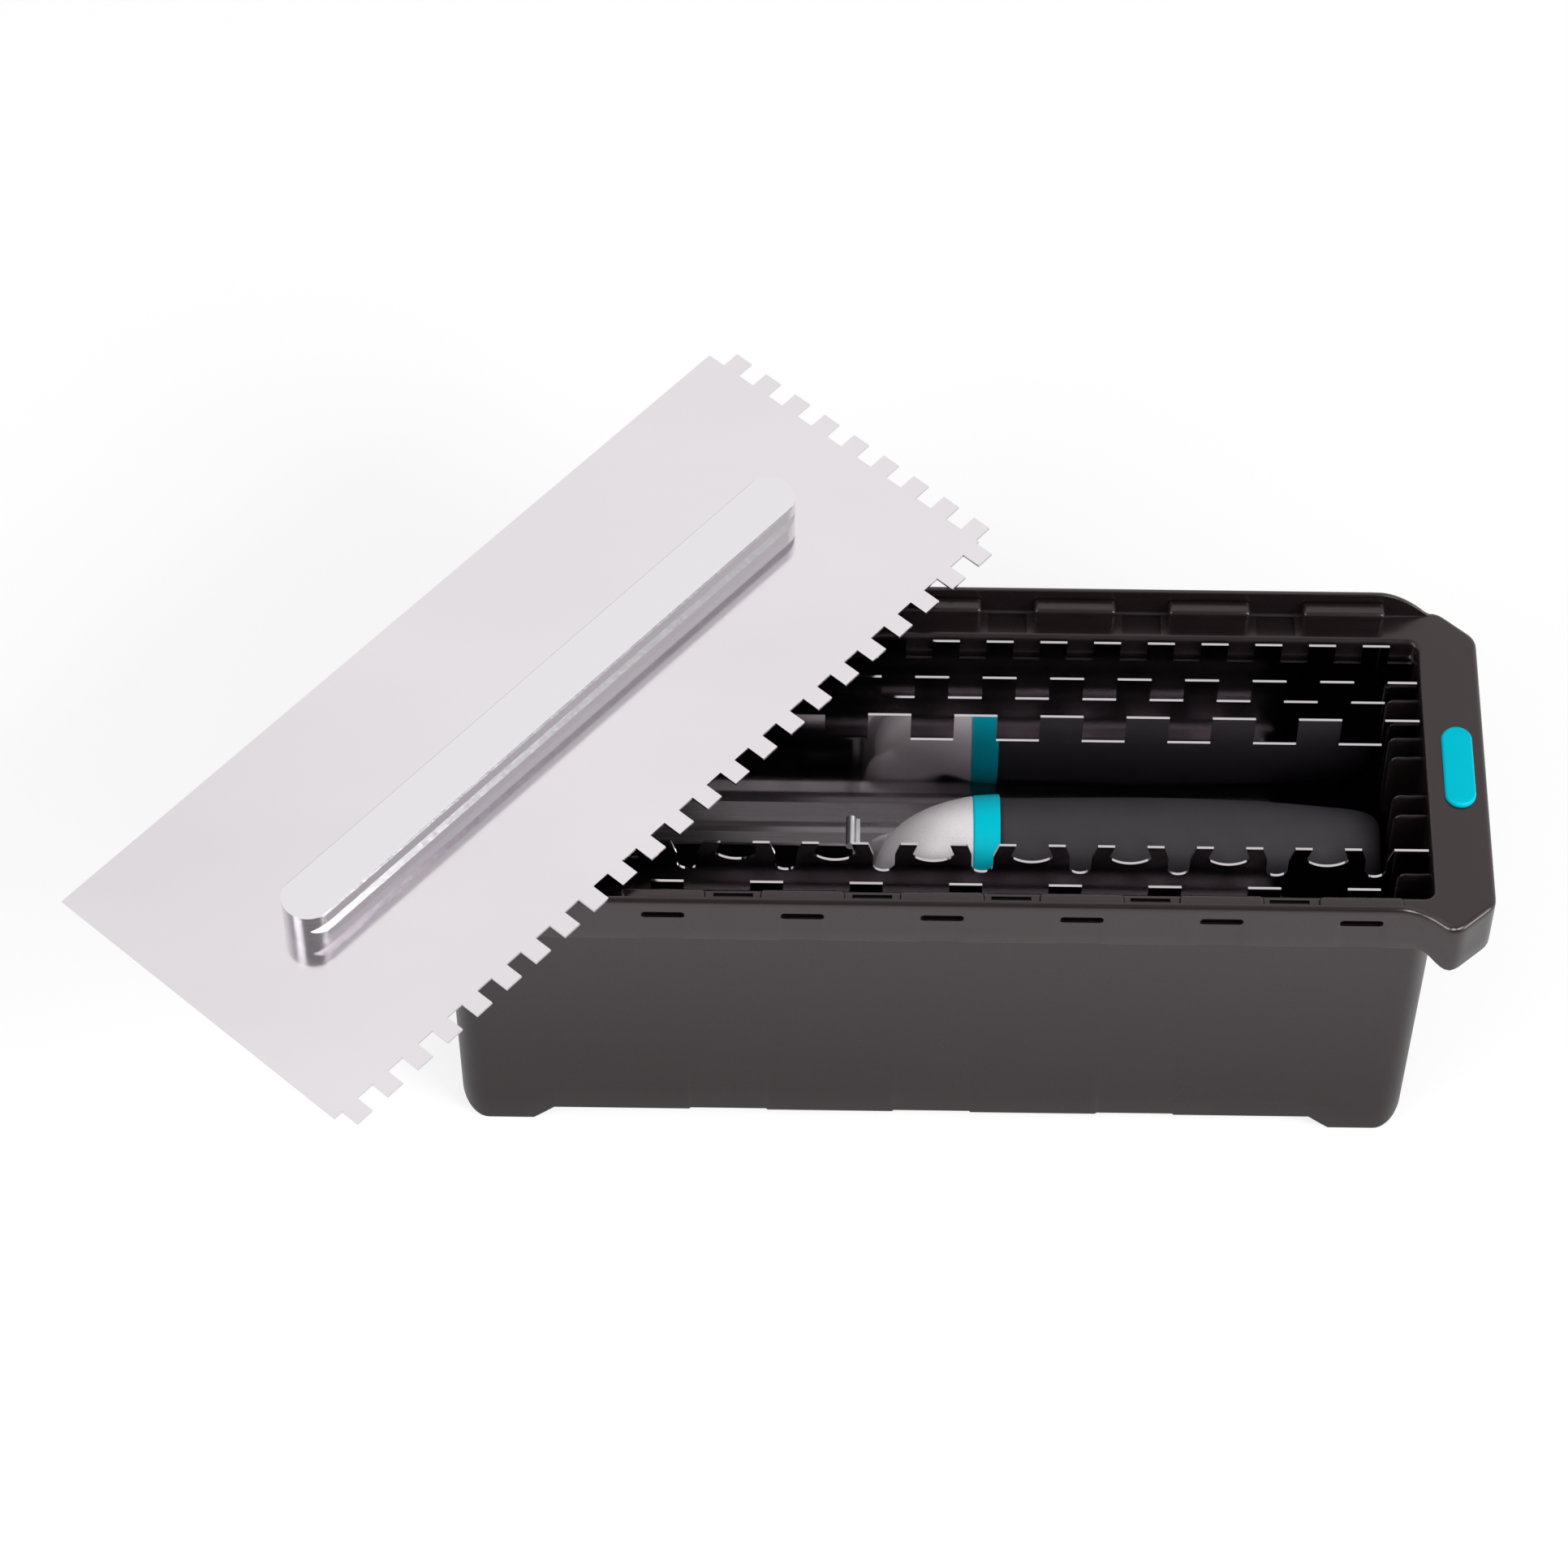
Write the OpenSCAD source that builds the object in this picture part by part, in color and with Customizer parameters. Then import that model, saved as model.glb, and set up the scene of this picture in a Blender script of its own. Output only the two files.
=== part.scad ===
// Notched trowel kit: six quick-change blades, one detachable handle and a moulded storage box.
// +Z is up, the box stands on z = 0 and the origin is the middle of its footprint.
// Blades are drawn flat: x runs from the plain end to the notched end, the notched long edge
// is at y = 0, the working face is z = 0 and the rail stands on the other face.

/* [Blade] */
// Length of every blade
blade_l = 280; // [250:1:290]
// Width of every blade, across the notched long edge
blade_w = 115; // [108:1:125]
// Thickness of the blade sheet
blade_t = 0.8; // [0.6:0.1:1.2]

/* [Square notches] */
// Notch width and tooth width of the fine blade
fine_notch = 6; // [4:0.5:7]
// Notch width and tooth width of the small blade
small_notch = 8; // [6:0.5:9]
// Notch width and tooth width of the medium blade
medium_notch = 10; // [8:0.5:11]
// Notch width and tooth width of the large blade
large_notch = 12.7; // [11:0.1:13]
// Notch width of the wide blade
wide_notch = 19.2; // [16:0.1:22]
// Tooth width of the wide blade
wide_tooth = 9.5; // [8:0.5:12]
// Notch depth of the wide blade
wide_depth = 15; // [12:1:20]

/* [Combined notches] */
// Distance from one notch to the next on the combined blade
mixed_pitch = 14.3; // [14:0.1:16]
// Width of both notch shapes at the edge
mixed_mouth = 9.4; // [8:0.1:10]
// Depth at which the round notch turns parallel and the fan notch is widest
mixed_neck = 5.5; // [4:0.5:7]
// Width of the round notch below its neck
round_w = 6.3; // [5:0.1:8]
// Full depth of the round notch
round_depth = 13.5; // [11:0.5:15]
// Widest width of the fan notch
fan_w = 12.4; // [11:0.1:13]
// Full depth of the fan notch
fan_depth = 8.4; // [7.5:0.1:9]

/* [Rail] */
// Length of the mounting rail, over its round ends
rail_l = 210; // [180:1:220]
// Width of the mounting rail
rail_w = 16; // [14:0.5:16]
// Height of the mounting rail above the blade
rail_h = 12; // [11:0.1:12.2]
// Depth of the V groove in each side of the rail
groove_d = 2.5; // [2:0.1:3]
// Height of the V groove at the rail's side
groove_h = 4; // [3:0.5:5]
// Height of the rail's flange above the groove
flange_h = 4.4; // [4:0.1:5]
// Number of rivets through blade and rail
rivet_n = 6; // [3:1:7]
// Distance between rivets
rivet_pitch = 34; // [20:1:34]
// Diameter of a rivet's shank
rivet_d = 4; // [3:0.5:5]

/* [Box] */
// Inside length of the box
bay_l = 283.6; // [283:0.2:286]
// Inside width of the box
bay_w = 92; // [91.6:0.1:94]
// Wall, floor and ledge thickness
wall = 2.5; // [2:0.1:3]
// Depth from the end ledges down to the floor
bay_h = 115.2; // [115:0.1:118]
// Height of the feet under the floor
foot_h = 6; // [4:0.5:8]
// Length of the feet along the box
foot_l = 23; // [18:1:28]
// Radius of the corners seen from above
plan_r = 9; // [6:0.5:12]
// Radius of the bottom corners at the ends
bottom_r = 8; // [5:0.5:8]
// Radius of the bay's upright corners, small so that the outer blades fit
bay_r = 2.6; // [2:0.1:3]

/* [Rim] */
// Overhang of the rim past the wall at each end
end_overhang = 15.4; // [14.5:0.1:18]
// Overhang of the rim past the wall along each side
side_overhang = 9.4; // [9:0.1:12]
// Height of the side lips above the ledge
lip_h = 9.8; // [8:0.1:12]
// Thickness of the lips and of the band that hangs from the rim
lip_t = 2; // [1.6:0.1:2.4]
// Depth of the band at the sides
band_d = 19.5; // [16:0.5:22]
// Length over which a lip runs down to the end ledge
lip_run = 16; // [12:1:20]
// Number of stiffening pads behind each lip
pad_n = 7; // [3:2:7]
// Distance from one pad to the next
pad_pitch = 40; // [36:1:42]
// Length of a pad
pad_l = 24.4; // [20:0.1:28]
// Width of a pad
pad_w = 5.3; // [4:0.1:5.5]
// Height of a pad above the ledge
pad_h = 6.8; // [5:0.1:7.5]

/* [Ribs] */
// How far the upright ribs reach in from the end walls
rib_reach = 9.5; // [7:0.1:9.5]
// Thickness of a rib
rib_t = 1.8; // [1.4:0.1:2]
// Distance from one pair of ribs to the next
rib_pitch = 20.9; // [20.5:0.1:21]
// Distance between the two ribs of a pair
rib_gap = 7; // [6.8:0.1:7]
// How far the ribs stop below the ledge
rib_drop = 4.6; // [3:0.1:8]

/* [Inlay] */
// Length of the coloured inlay in each end ledge
inlay_l = 28.5; // [20:0.5:34]
// Width of the coloured inlay
inlay_w = 9; // [7:0.5:10]
// How far the inlay stands above the ledge
inlay_up = 1.5; // [0.8:0.1:2.5]

/* [Handle] */
// Height of the grip's axis above the box floor
grip_up = 78.7; // [78:0.1:84]
// Radius of the grip at its thickest
grip_r = 16.6; // [14:0.1:16.8]
// Length of the grip
grip_l = 113; // [100:1:113]
// Length of the coloured ring
ring_l = 7.8; // [6:0.1:9]
// Radius of the coloured ring
ring_r = 17; // [15:0.1:17]
// Length of the clamping shoe
shoe_l = 150; // [120:1:150]
// Thickness of the shoe's top and side walls
shoe_t = 2; // [1.6:0.1:2]
// Diameter of the steel rod through the grip
rod_d = 8; // [6:0.5:10]

/* [Lever] */
// Length of the lock lever above its pin
lever_up = 67; // [55:1:67]
// Width of the lock lever
lever_w = 10; // [8:0.5:12]
// Thickness of the lock lever's strip
lever_t = 2; // [1.6:0.1:2.4]
// Diameter of the lever's pin
pin_d = 3.5; // [3:0.1:4]

/* [Hidden] */
$fn = 48;

// Shared clearances
running = 0.3;     // between pieces that slide or swing past each other
press_gap = 0.15;  // between a pressed-in piece and its seat
over = 1;          // how far a cutting shape runs past what it cuts

// Levels of the box
floor_z = foot_h + wall;
ledge_z = floor_z + bay_h;
lip_z = ledge_z + lip_h;

// Outline of the box
half_l = bay_l / 2 + wall;
half_w = bay_w / 2 + wall;
rim_x = half_l + end_overhang;
rim_y = half_w + side_overhang;
rim_cut_x = 11;    // length of the corner cut along the end
rim_cut_y = 9.6;   // length of the corner cut along the side
rim_round = 6;     // radius that softens the corner cut
lip_end = 3;       // flat stretch between the foot of the lip and the corner cut
lip_flat = rim_x - rim_cut_x - lip_run - lip_end;
band_end = 21;     // depth of the band at the ends

// Where the blades stand, from back to front; the middle bay between them holds the handle
back_gap = 1.5;                               // from the back wall to the middle of its blade
front_gap = 2.4;                              // from the front wall to the middle of its blade
rail_gap = 0.7;                               // between a rail and the next blade
middle_gap = 0.5;                             // added beside the middle bay
end_play = 0.7;                               // between the blades and the right-hand wall
blade_step = rail_h + blade_t + rail_gap;     // two blades whose rails face the same way
station_small = bay_w / 2 - back_gap;
station_medium = station_small - blade_step;
station_large = station_medium - blade_step - middle_gap;
station_wide = -(bay_w / 2 - front_gap);
station_mixed = station_wide + blade_step + middle_gap;
blade_right = bay_l / 2 - end_play;
blade_top = floor_z + blade_w;

// The fine blade lies across both lips
lying_turn = 48.9;
lying_x = -115.6;
lying_y = 6.8;

// Handle, in the gap between the two rails that face each other
rail_face_back = station_large - blade_t / 2 - rail_h;
rail_face_front = station_mixed + blade_t / 2 + rail_h;
handle_y = (rail_face_back + rail_face_front) / 2;
handle_z = floor_z + grip_up;
rear_gap = 1.2;                               // from the grip's rear end to the tips of the ribs
ring_x = bay_l / 2 - rib_reach - rear_gap - grip_l - ring_l;
neck_reach = 20.3;                            // from the ring forward to the middle of the leg
shoe_front = 29.3;                            // from the middle of the leg to the shoe's front end
lever_front = 14.3;                           // from the middle of the leg to the lever's pin
shoe_x = ring_x - neck_reach - shoe_front;
shoe_in = rail_w / 2 + running;
shoe_out = shoe_in + shoe_t;
shoe_clear = 1;                               // height of the shoe's walls above a blade
shoe_skirt = rail_h - shoe_clear;
shoe_roof = 3;                                // thickness of the shoe's roof
shoe_top = floor_z + shoe_skirt + running + shoe_roof;
neck_foot = [ring_x - neck_reach, shoe_top];
pin_x = neck_foot[0] - lever_front;
pin_up = 6.2;                                 // height of the lever's pin above the shoe
pin_z = shoe_top + pin_up;

function arc(c, r, a0, a1, n) = [for (i = [0 : n]) c + r * [cos(a0 + (a1 - a0) * i / n),
                                                             sin(a0 + (a1 - a0) * i / n)]];

// ---------- blades ----------

// Places a blade that stands in the box: the notched edge is up and the plain end is at the right.
// side = -1 turns the rail to the front, side = 1 to the back.
module stand(y, side) {
  if (side < 0)
    translate([blade_right, y + blade_t / 2, blade_top]) rotate([0, 180, 0]) rotate([90, 0, 0]) children();
  else
    translate([blade_right - blade_l, y - blade_t / 2, blade_top]) rotate([-90, 0, 0]) children();
}

module lie() {
  translate([lying_x, lying_y, lip_z]) rotate([0, 0, lying_turn])
    translate([-blade_l / 2, -blade_w / 2, 0]) children();
}

// One rivet: a countersunk head flush with the working face and a shank up into the rail.
rivet_head = 0.6;
rivet_flare = 0.9;
rivet_deep = 6;
module rivet_form() {
  cylinder(h = rivet_head, r1 = rivet_d / 2 + rivet_flare, r2 = rivet_d / 2);
  cylinder(h = blade_t + rivet_deep, r = rivet_d / 2);
}

module rivet_places() {
  for (i = [0 : rivet_n - 1])
    translate([blade_l / 2 + (i - (rivet_n - 1) / 2) * rivet_pitch, blade_w / 2, 0]) children();
}

module rivets() { color("silver") rivet_places() rivet_form(); }

// Where the first whole or cut tooth starts, measured from the plain end.
small_first = 7.3;
medium_first = -1.4;
large_first = -2.6;
wide_first = 14.6;
mixed_first = 14.6;
large_depth = 12;     // the large blade's notches are a little shallower than wide
corner_margin = 1;    // from the last long-edge notch to the first tooth of the short end

// The plate with square teeth along the notched long edge and along the notched short end.
module toothed_outline(notch, tooth, depth, first) {
  pitch = notch + tooth;
  long_last = floor((blade_l - depth - first - tooth) / pitch);
  short_first = depth + (notch == tooth ? corner_margin : notch / 2);
  short_last = floor((blade_w - notch / 2 - short_first - tooth) / pitch);
  intersection() {
    square([blade_l, blade_w]);
    union() {
      translate([0, depth]) square([blade_l - depth, blade_w - depth]);
      for (k = [0 : long_last]) translate([first + k * pitch, 0]) square([tooth, depth + over]);
      for (k = [0 : short_last])
        translate([blade_l - depth - over, short_first + k * pitch]) square([depth + over, tooth]);
    }
  }
}

// Round-bottomed notch, cut upwards from y = 0.
module round_notch() {
  r = round_w / 2;
  polygon(concat([[mixed_mouth / 2, 0], [mixed_mouth / 2, -over], [-mixed_mouth / 2, -over],
                  [-mixed_mouth / 2, 0], [-r, mixed_neck]],
                 arc([0, round_depth - r], r, 180, 0, 12), [[r, mixed_neck]]));
}

// Fan-shaped notch: it widens to its deepest corners and closes in a shallow arc.
module fan_notch() {
  sag = fan_depth - mixed_neck;
  r = (fan_w * fan_w / 4 + sag * sag) / (2 * sag);
  a = asin(fan_w / 2 / r);
  polygon(concat([[mixed_mouth / 2, 0], [mixed_mouth / 2, -over], [-mixed_mouth / 2, -over],
                  [-mixed_mouth / 2, 0]],
                 arc([0, fan_depth - r], r, 90 + a, 90 - a, 10)));
}

module mixed_outline() {
  last = floor((blade_l - round_depth - mixed_first - fan_w / 2) / mixed_pitch);
  short_first = round_depth + mixed_pitch / 2;
  short_last = floor((blade_w - short_first - fan_w) / mixed_pitch);
  difference() {
    square([blade_l, blade_w]);
    for (k = [0 : last]) translate([mixed_first + k * mixed_pitch, 0])
      if (k % 2 == 0) round_notch(); else fan_notch();
    for (k = [0 : short_last]) translate([blade_l, short_first + k * mixed_pitch]) rotate(90)
      if (k % 2 == 0) round_notch(); else fan_notch();
  }
}

module sheet(mirrored = false) {
  color("gainsboro") difference() {
    linear_extrude(height = blade_t)
      if (mirrored) translate([blade_l, 0]) mirror([1, 0]) children();
      else children();
    rivet_places() rivet_form();
  }
}

// Extruded bar with a V groove in each side; its ends are milled round.
rail_edge = 0.5;      // bevel along the rail's upper edges
module rail() {
  low = rail_h - flange_h - groove_h;
  half = [[rail_w / 2, 0], [rail_w / 2, low], [rail_w / 2 - groove_d, low + groove_h / 2],
          [rail_w / 2, low + groove_h], [rail_w / 2, rail_h - rail_edge],
          [rail_w / 2 - rail_edge, rail_h]];
  other = [for (i = [len(half) - 1 : -1 : 0]) [-half[i][0], half[i][1]]];
  color("lightgray") translate([blade_l / 2, blade_w / 2, blade_t]) difference() {
    intersection() {
      rotate([90, 0, 90]) linear_extrude(height = rail_l, center = true) polygon(concat(half, other));
      linear_extrude(height = rail_h) union() {
        square([rail_l - rail_w, rail_w], center = true);
        for (s = [-1, 1]) translate([s * (rail_l - rail_w) / 2, 0]) circle(rail_w / 2);
      }
    }
    translate([-blade_l / 2, -blade_w / 2, -blade_t]) rivet_places() rivet_form();
  }
}

module blade_fine() { lie() sheet() toothed_outline(fine_notch, fine_notch, fine_notch, fine_notch / 2); }
module rail_fine() { lie() rail(); }
module rivets_fine() { lie() rivets(); }

module blade_small() {
  stand(station_small, -1) sheet() toothed_outline(small_notch, small_notch, small_notch, small_first);
}
module rail_small() { stand(station_small, -1) rail(); }
module rivets_small() { stand(station_small, -1) rivets(); }

module blade_medium() {
  stand(station_medium, -1) sheet()
    toothed_outline(medium_notch, medium_notch, medium_notch, medium_first);
}
module rail_medium() { stand(station_medium, -1) rail(); }
module rivets_medium() { stand(station_medium, -1) rivets(); }

module blade_large() {
  stand(station_large, -1) sheet() toothed_outline(large_notch, large_notch, large_depth, large_first);
}
module rail_large() { stand(station_large, -1) rail(); }
module rivets_large() { stand(station_large, -1) rivets(); }

module blade_mixed() { stand(station_mixed, 1) sheet(true) mixed_outline(); }
module rail_mixed() { stand(station_mixed, 1) rail(); }
module rivets_mixed() { stand(station_mixed, 1) rivets(); }

module blade_wide() {
  stand(station_wide, 1) sheet(true) toothed_outline(wide_notch, wide_tooth, wide_depth, wide_first);
}
module rail_wide() { stand(station_wide, 1) rail(); }
module rivets_wide() { stand(station_wide, 1) rivets(); }

// ---------- storage box ----------

module rounded_plan(hx, hy, r) {
  square([2 * hx, 2 * (hy - r)], center = true);
  square([2 * (hx - r), 2 * hy], center = true);
  for (sx = [-1, 1], sy = [-1, 1]) translate([sx * (hx - r), sy * (hy - r)]) circle(r);
}

// Side view of the tub, inset by a wall thickness: round bottom corners, a foot at each end.
module tub_profile(inset) {
  hx = half_l - inset;
  r = bottom_r - inset;
  foot_in = half_l - foot_l + inset;
  difference() {
    union() {
      translate([-hx, inset + r]) square([2 * hx, ledge_z - inset - r + (inset > 0 ? over : 0)]);
      translate([-hx + r, inset]) square([2 * (hx - r), r + over]);
      for (s = [-1, 1]) translate([s * (hx - r), inset + r]) circle(r);
    }
    polygon([[-foot_in, inset - over], [-foot_in, inset], [-foot_in + foot_h, inset + foot_h],
             [foot_in - foot_h, inset + foot_h], [foot_in, inset], [foot_in, inset - over]]);
  }
}

module tub_block(inset) {
  intersection() {
    rotate([90, 0, 0]) linear_extrude(height = 2 * half_w + 2 * over, center = true) tub_profile(inset);
    linear_extrude(height = lip_z + over)
      rounded_plan(half_l - inset, half_w - inset, inset == wall ? bay_r : plan_r - inset);
  }
}

// Outline of the rim seen from above, moved inwards by inset: a rectangle with cut, softened corners.
function rim_corner(inset) =
  let (facing = atan2(rim_cut_x, rim_cut_y), r = rim_round,
       end_corner = [rim_x - r, rim_y - rim_cut_y - r * tan(facing / 2)],
       side_corner = [rim_x - rim_cut_x - r * tan((90 - facing) / 2), rim_y - r])
  concat(arc(end_corner, r - inset, 0, facing, 4), arc(side_corner, r - inset, facing, 90, 4));
function rim_outline(inset) =
  let (q = rim_corner(inset), m = len(q) - 1)
  concat(q, [for (i = [m : -1 : 0]) [-q[i][0], q[i][1]]], [for (p = q) -p],
         [for (i = [m : -1 : 0]) [q[i][0], -q[i][1]]]);

// Drop of the lip's top, from its flat length down to the end ledge.
lip_curve = 1.9;
function lip_fall(t) = lip_h * pow(t, lip_curve);
// Drop of the band's lower edge: a smooth step.
function band_fall(t) = (1 - cos(180 * t)) / 2;
steps = 8;
band_from = 8;     // where the step starts, inside the tub's end face
band_to = 3.5;     // where it ends, outside that face

module band_profile() {
  top = [for (i = [0 : steps]) [lip_flat + lip_run * i / steps, lip_z - lip_fall(i / steps)]];
  low_z = lip_z - band_d;
  low_drop = low_z - (ledge_z - band_end);
  low_x0 = half_l - band_from;
  low_x1 = half_l + band_to;
  low = [for (i = [steps : -1 : 0]) [low_x0 + (low_x1 - low_x0) * i / steps,
                                     low_z - low_drop * band_fall(i / steps)]];
  right = concat(top, [[rim_x + over, ledge_z], [rim_x + over, ledge_z - band_end]], low);
  left = [for (i = [len(right) - 1 : -1 : 0]) [-right[i][0], right[i][1]]];
  polygon(concat(right, left));
}

// One pad, in front of the lip: its upright corners and its top edges are round.
pad_r = 1.8;
module pad() {
  tall = pad_h + wall;
  intersection() {
    linear_extrude(height = tall) union() {
      translate([-pad_l / 2, -over]) square([pad_l, pad_w - pad_r + over]);
      translate([-pad_l / 2 + pad_r, 0]) square([pad_l - 2 * pad_r, pad_w]);
      for (s = [-1, 1]) translate([s * (pad_l / 2 - pad_r), pad_w - pad_r]) circle(pad_r);
    }
    rotate([90, 0, 90]) linear_extrude(height = pad_l + 2 * over, center = true) union() {
      translate([-over, 0]) square([pad_w - pad_r + over, tall]);
      square([pad_w + over, tall - pad_r]);
      translate([pad_w - pad_r, tall - pad_r]) circle(pad_r);
    }
    rotate([90, 0, 0]) linear_extrude(height = 4 * pad_w, center = true) union() {
      translate([-pad_l / 2 + pad_r, 0]) square([pad_l - 2 * pad_r, tall]);
      translate([-pad_l / 2 - over, 0]) square([pad_l + 2 * over, tall - pad_r]);
      for (s = [-1, 1]) translate([s * (pad_l / 2 - pad_r), tall - pad_r]) circle(pad_r);
    }
  }
}

module pad_row(side) {
  for (i = [0 : pad_n - 1])
    translate([(i - (pad_n - 1) / 2) * pad_pitch, side * (rim_y - lip_t), ledge_z - wall])
      mirror([0, side > 0 ? 1 : 0, 0]) pad();
}

// Shallow rests between the pads and, outside, the recessed catch with its slot under each pad.
catch_w = 12.8;
catch_deep = 0.9;
catch_slope = 1.1;    // width of the sloped sides of the recess
catch_top = 5.3;
slot_w = 10.4;
slot_h = 2.5;
slot_past = 1.5;      // how far the slot goes on behind the band
rest_w = 11;
rest_deep = 1;
rest_gap = 0.6;       // from the rest to the lip
module rim_cuts(side) {
  for (i = [0 : pad_n - 2])
    translate([(i - (pad_n - 2) / 2) * pad_pitch - rest_w / 2, side * (rim_y - lip_t - pad_w),
               ledge_z - rest_deep])
      mirror([0, side < 0 ? 1 : 0, 0]) cube([rest_w, pad_w - rest_gap, rest_deep + over]);
  for (i = [0 : pad_n - 1])
    translate([(i - (pad_n - 1) / 2) * pad_pitch, side * rim_y, 0])
      mirror([0, side > 0 ? 1 : 0, 0]) {
        translate([0, 0, lip_z - band_d - over]) linear_extrude(height = band_d - catch_top + over)
          polygon([[-catch_w / 2, 0], [-catch_w / 2, -over], [catch_w / 2, -over], [catch_w / 2, 0],
                   [catch_w / 2 - catch_slope, catch_deep], [-catch_w / 2 + catch_slope, catch_deep]]);
        translate([0, 0, lip_z - catch_top - slot_h / 2]) rotate([-90, 0, 0])
          translate([0, 0, -over]) linear_extrude(height = lip_t + slot_past + over) {
            square([slot_w - slot_h, slot_h], center = true);
            for (s = [-1, 1]) translate([s * (slot_w - slot_h) / 2, 0]) circle(slot_h / 2);
          }
      }
}

// One upright rib, seen from the side, with its top corner rounded.
rib_r = 3;
module rib_profile() {
  r = rib_r;
  top = ledge_z - rib_drop;
  x0 = bay_l / 2 - rib_reach;
  translate([x0, wall]) square([rib_reach + wall / 2, top - r - wall]);
  translate([x0 + r, wall]) square([rib_reach - r + wall / 2, top - wall]);
  translate([x0 + r, top - r]) circle(r);
}

module ribs() {
  for (sx = [0, 1], k = [-1.5 : 1 : 1.5], s = [-1, 1]) mirror([sx, 0, 0])
    translate([0, k * rib_pitch + s * rib_gap / 2 + rib_t / 2, 0])
      rotate([90, 0, 0]) linear_extrude(height = rib_t) rib_profile();
}

// The bay's upper edge is rolled over: a strip is cut away along all four sides.
roll_r = 2.2;
module roll_strip(length) {
  rotate([90, 0, 90]) linear_extrude(height = length, center = true)
    polygon(concat([[-over, over], [-over, -roll_r]], arc([roll_r, -roll_r], roll_r, 180, 90, 6),
                   [[roll_r, over]]));
}
module bay_roll() {
  for (s = [0, 1]) {
    mirror([0, s, 0]) translate([0, bay_w / 2, ledge_z]) roll_strip(bay_l);
    mirror([s, 0, 0]) translate([bay_l / 2, 0, ledge_z]) rotate([0, 0, -90]) roll_strip(bay_w);
  }
}

inlay_x = half_l + 7.2;
inlay_deep = 1;
peg_r = 2;
peg_gap = 14;
module inlay_form(grow) {
  r = inlay_w / 2 + grow;
  linear_extrude(height = inlay_deep + inlay_up) {
    square([2 * r, inlay_l - inlay_w], center = true);
    for (s = [-1, 1]) translate([0, s * (inlay_l - inlay_w) / 2]) circle(r);
  }
}

// Tapered relief panels low on both long walls.
panel_n = 3;
panel_pitch = 62;
panel_w = 27;
panel_h = 33;
panel_deep = 0.5;
panel_flare = 2;    // how much wider a panel is at its top, on each side
// Each panel is deepest at the bottom of the wall and fades out at its top.
module panels() {
  low = panel_w / 2 - panel_flare;
  for (i = [0 : panel_n - 1]) intersection() {
    translate([(i - (panel_n - 1) / 2) * panel_pitch, -half_w + panel_deep, foot_h])
      rotate([90, 0, 0]) linear_extrude(height = panel_deep + over)
        polygon([[-low, -over], [low, -over], [panel_w / 2, panel_h], [-panel_w / 2, panel_h]]);
    translate([0, -half_w, foot_h]) rotate([90, 0, 90]) linear_extrude(height = bay_l, center = true)
      polygon([[-over, -over], [panel_deep, -over], [panel_deep, 0], [0, panel_h], [-over, panel_h]]);
  }
}

module storage_box() {
  color("dimgray") difference() {
    union() {
      difference() {
        union() {
          tub_block(0);
          translate([0, 0, ledge_z - wall]) linear_extrude(height = wall) polygon(rim_outline(lip_t / 2));
          intersection() {
            translate([0, 0, ledge_z - band_end - over])
              linear_extrude(height = band_end + lip_h + 2 * over) difference() {
                polygon(rim_outline(0));
                polygon(rim_outline(lip_t));
              }
            rotate([90, 0, 0]) linear_extrude(height = 2 * rim_y + 2 * over, center = true) band_profile();
          }
        }
        tub_block(wall);
      }
      intersection() {
        ribs();
        tub_block(wall / 2);
      }
      pad_row(1);
      pad_row(-1);
    }
    rim_cuts(1);
    rim_cuts(-1);
    bay_roll();
    for (s = [-1, 1]) translate([s * inlay_x, 0, ledge_z - inlay_deep]) {
      inlay_form(press_gap);
      for (p = [-1, 1]) translate([0, p * peg_gap / 2, -wall])
        cylinder(h = wall + over, r = peg_r + press_gap);
    }
    panels();
    mirror([0, 1, 0]) panels();
  }
}

// Soft pressed-in inlay: a pill with two barbed pegs through the ledge.
barb_h = 1.6;
barb_tip = 0.6;     // how much thinner than the peg a barb starts
barb_out = 0.7;     // how far it stands out at its upper end
module inlay(side) {
  color("darkturquoise") translate([side * inlay_x, 0, ledge_z - inlay_deep]) {
    inlay_form(0);
    for (p = [-1, 1]) translate([0, p * peg_gap / 2, 0]) {
      translate([0, 0, -wall + inlay_deep - press_gap]) cylinder(h = wall, r = peg_r);
      translate([0, 0, -wall + inlay_deep - press_gap - barb_h])
        cylinder(h = barb_h, r1 = peg_r - barb_tip, r2 = peg_r + barb_out);
    }
  }
}

module inlay_right() { inlay(1); }
module inlay_left() { inlay(-1); }

// ---------- handle ----------

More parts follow.
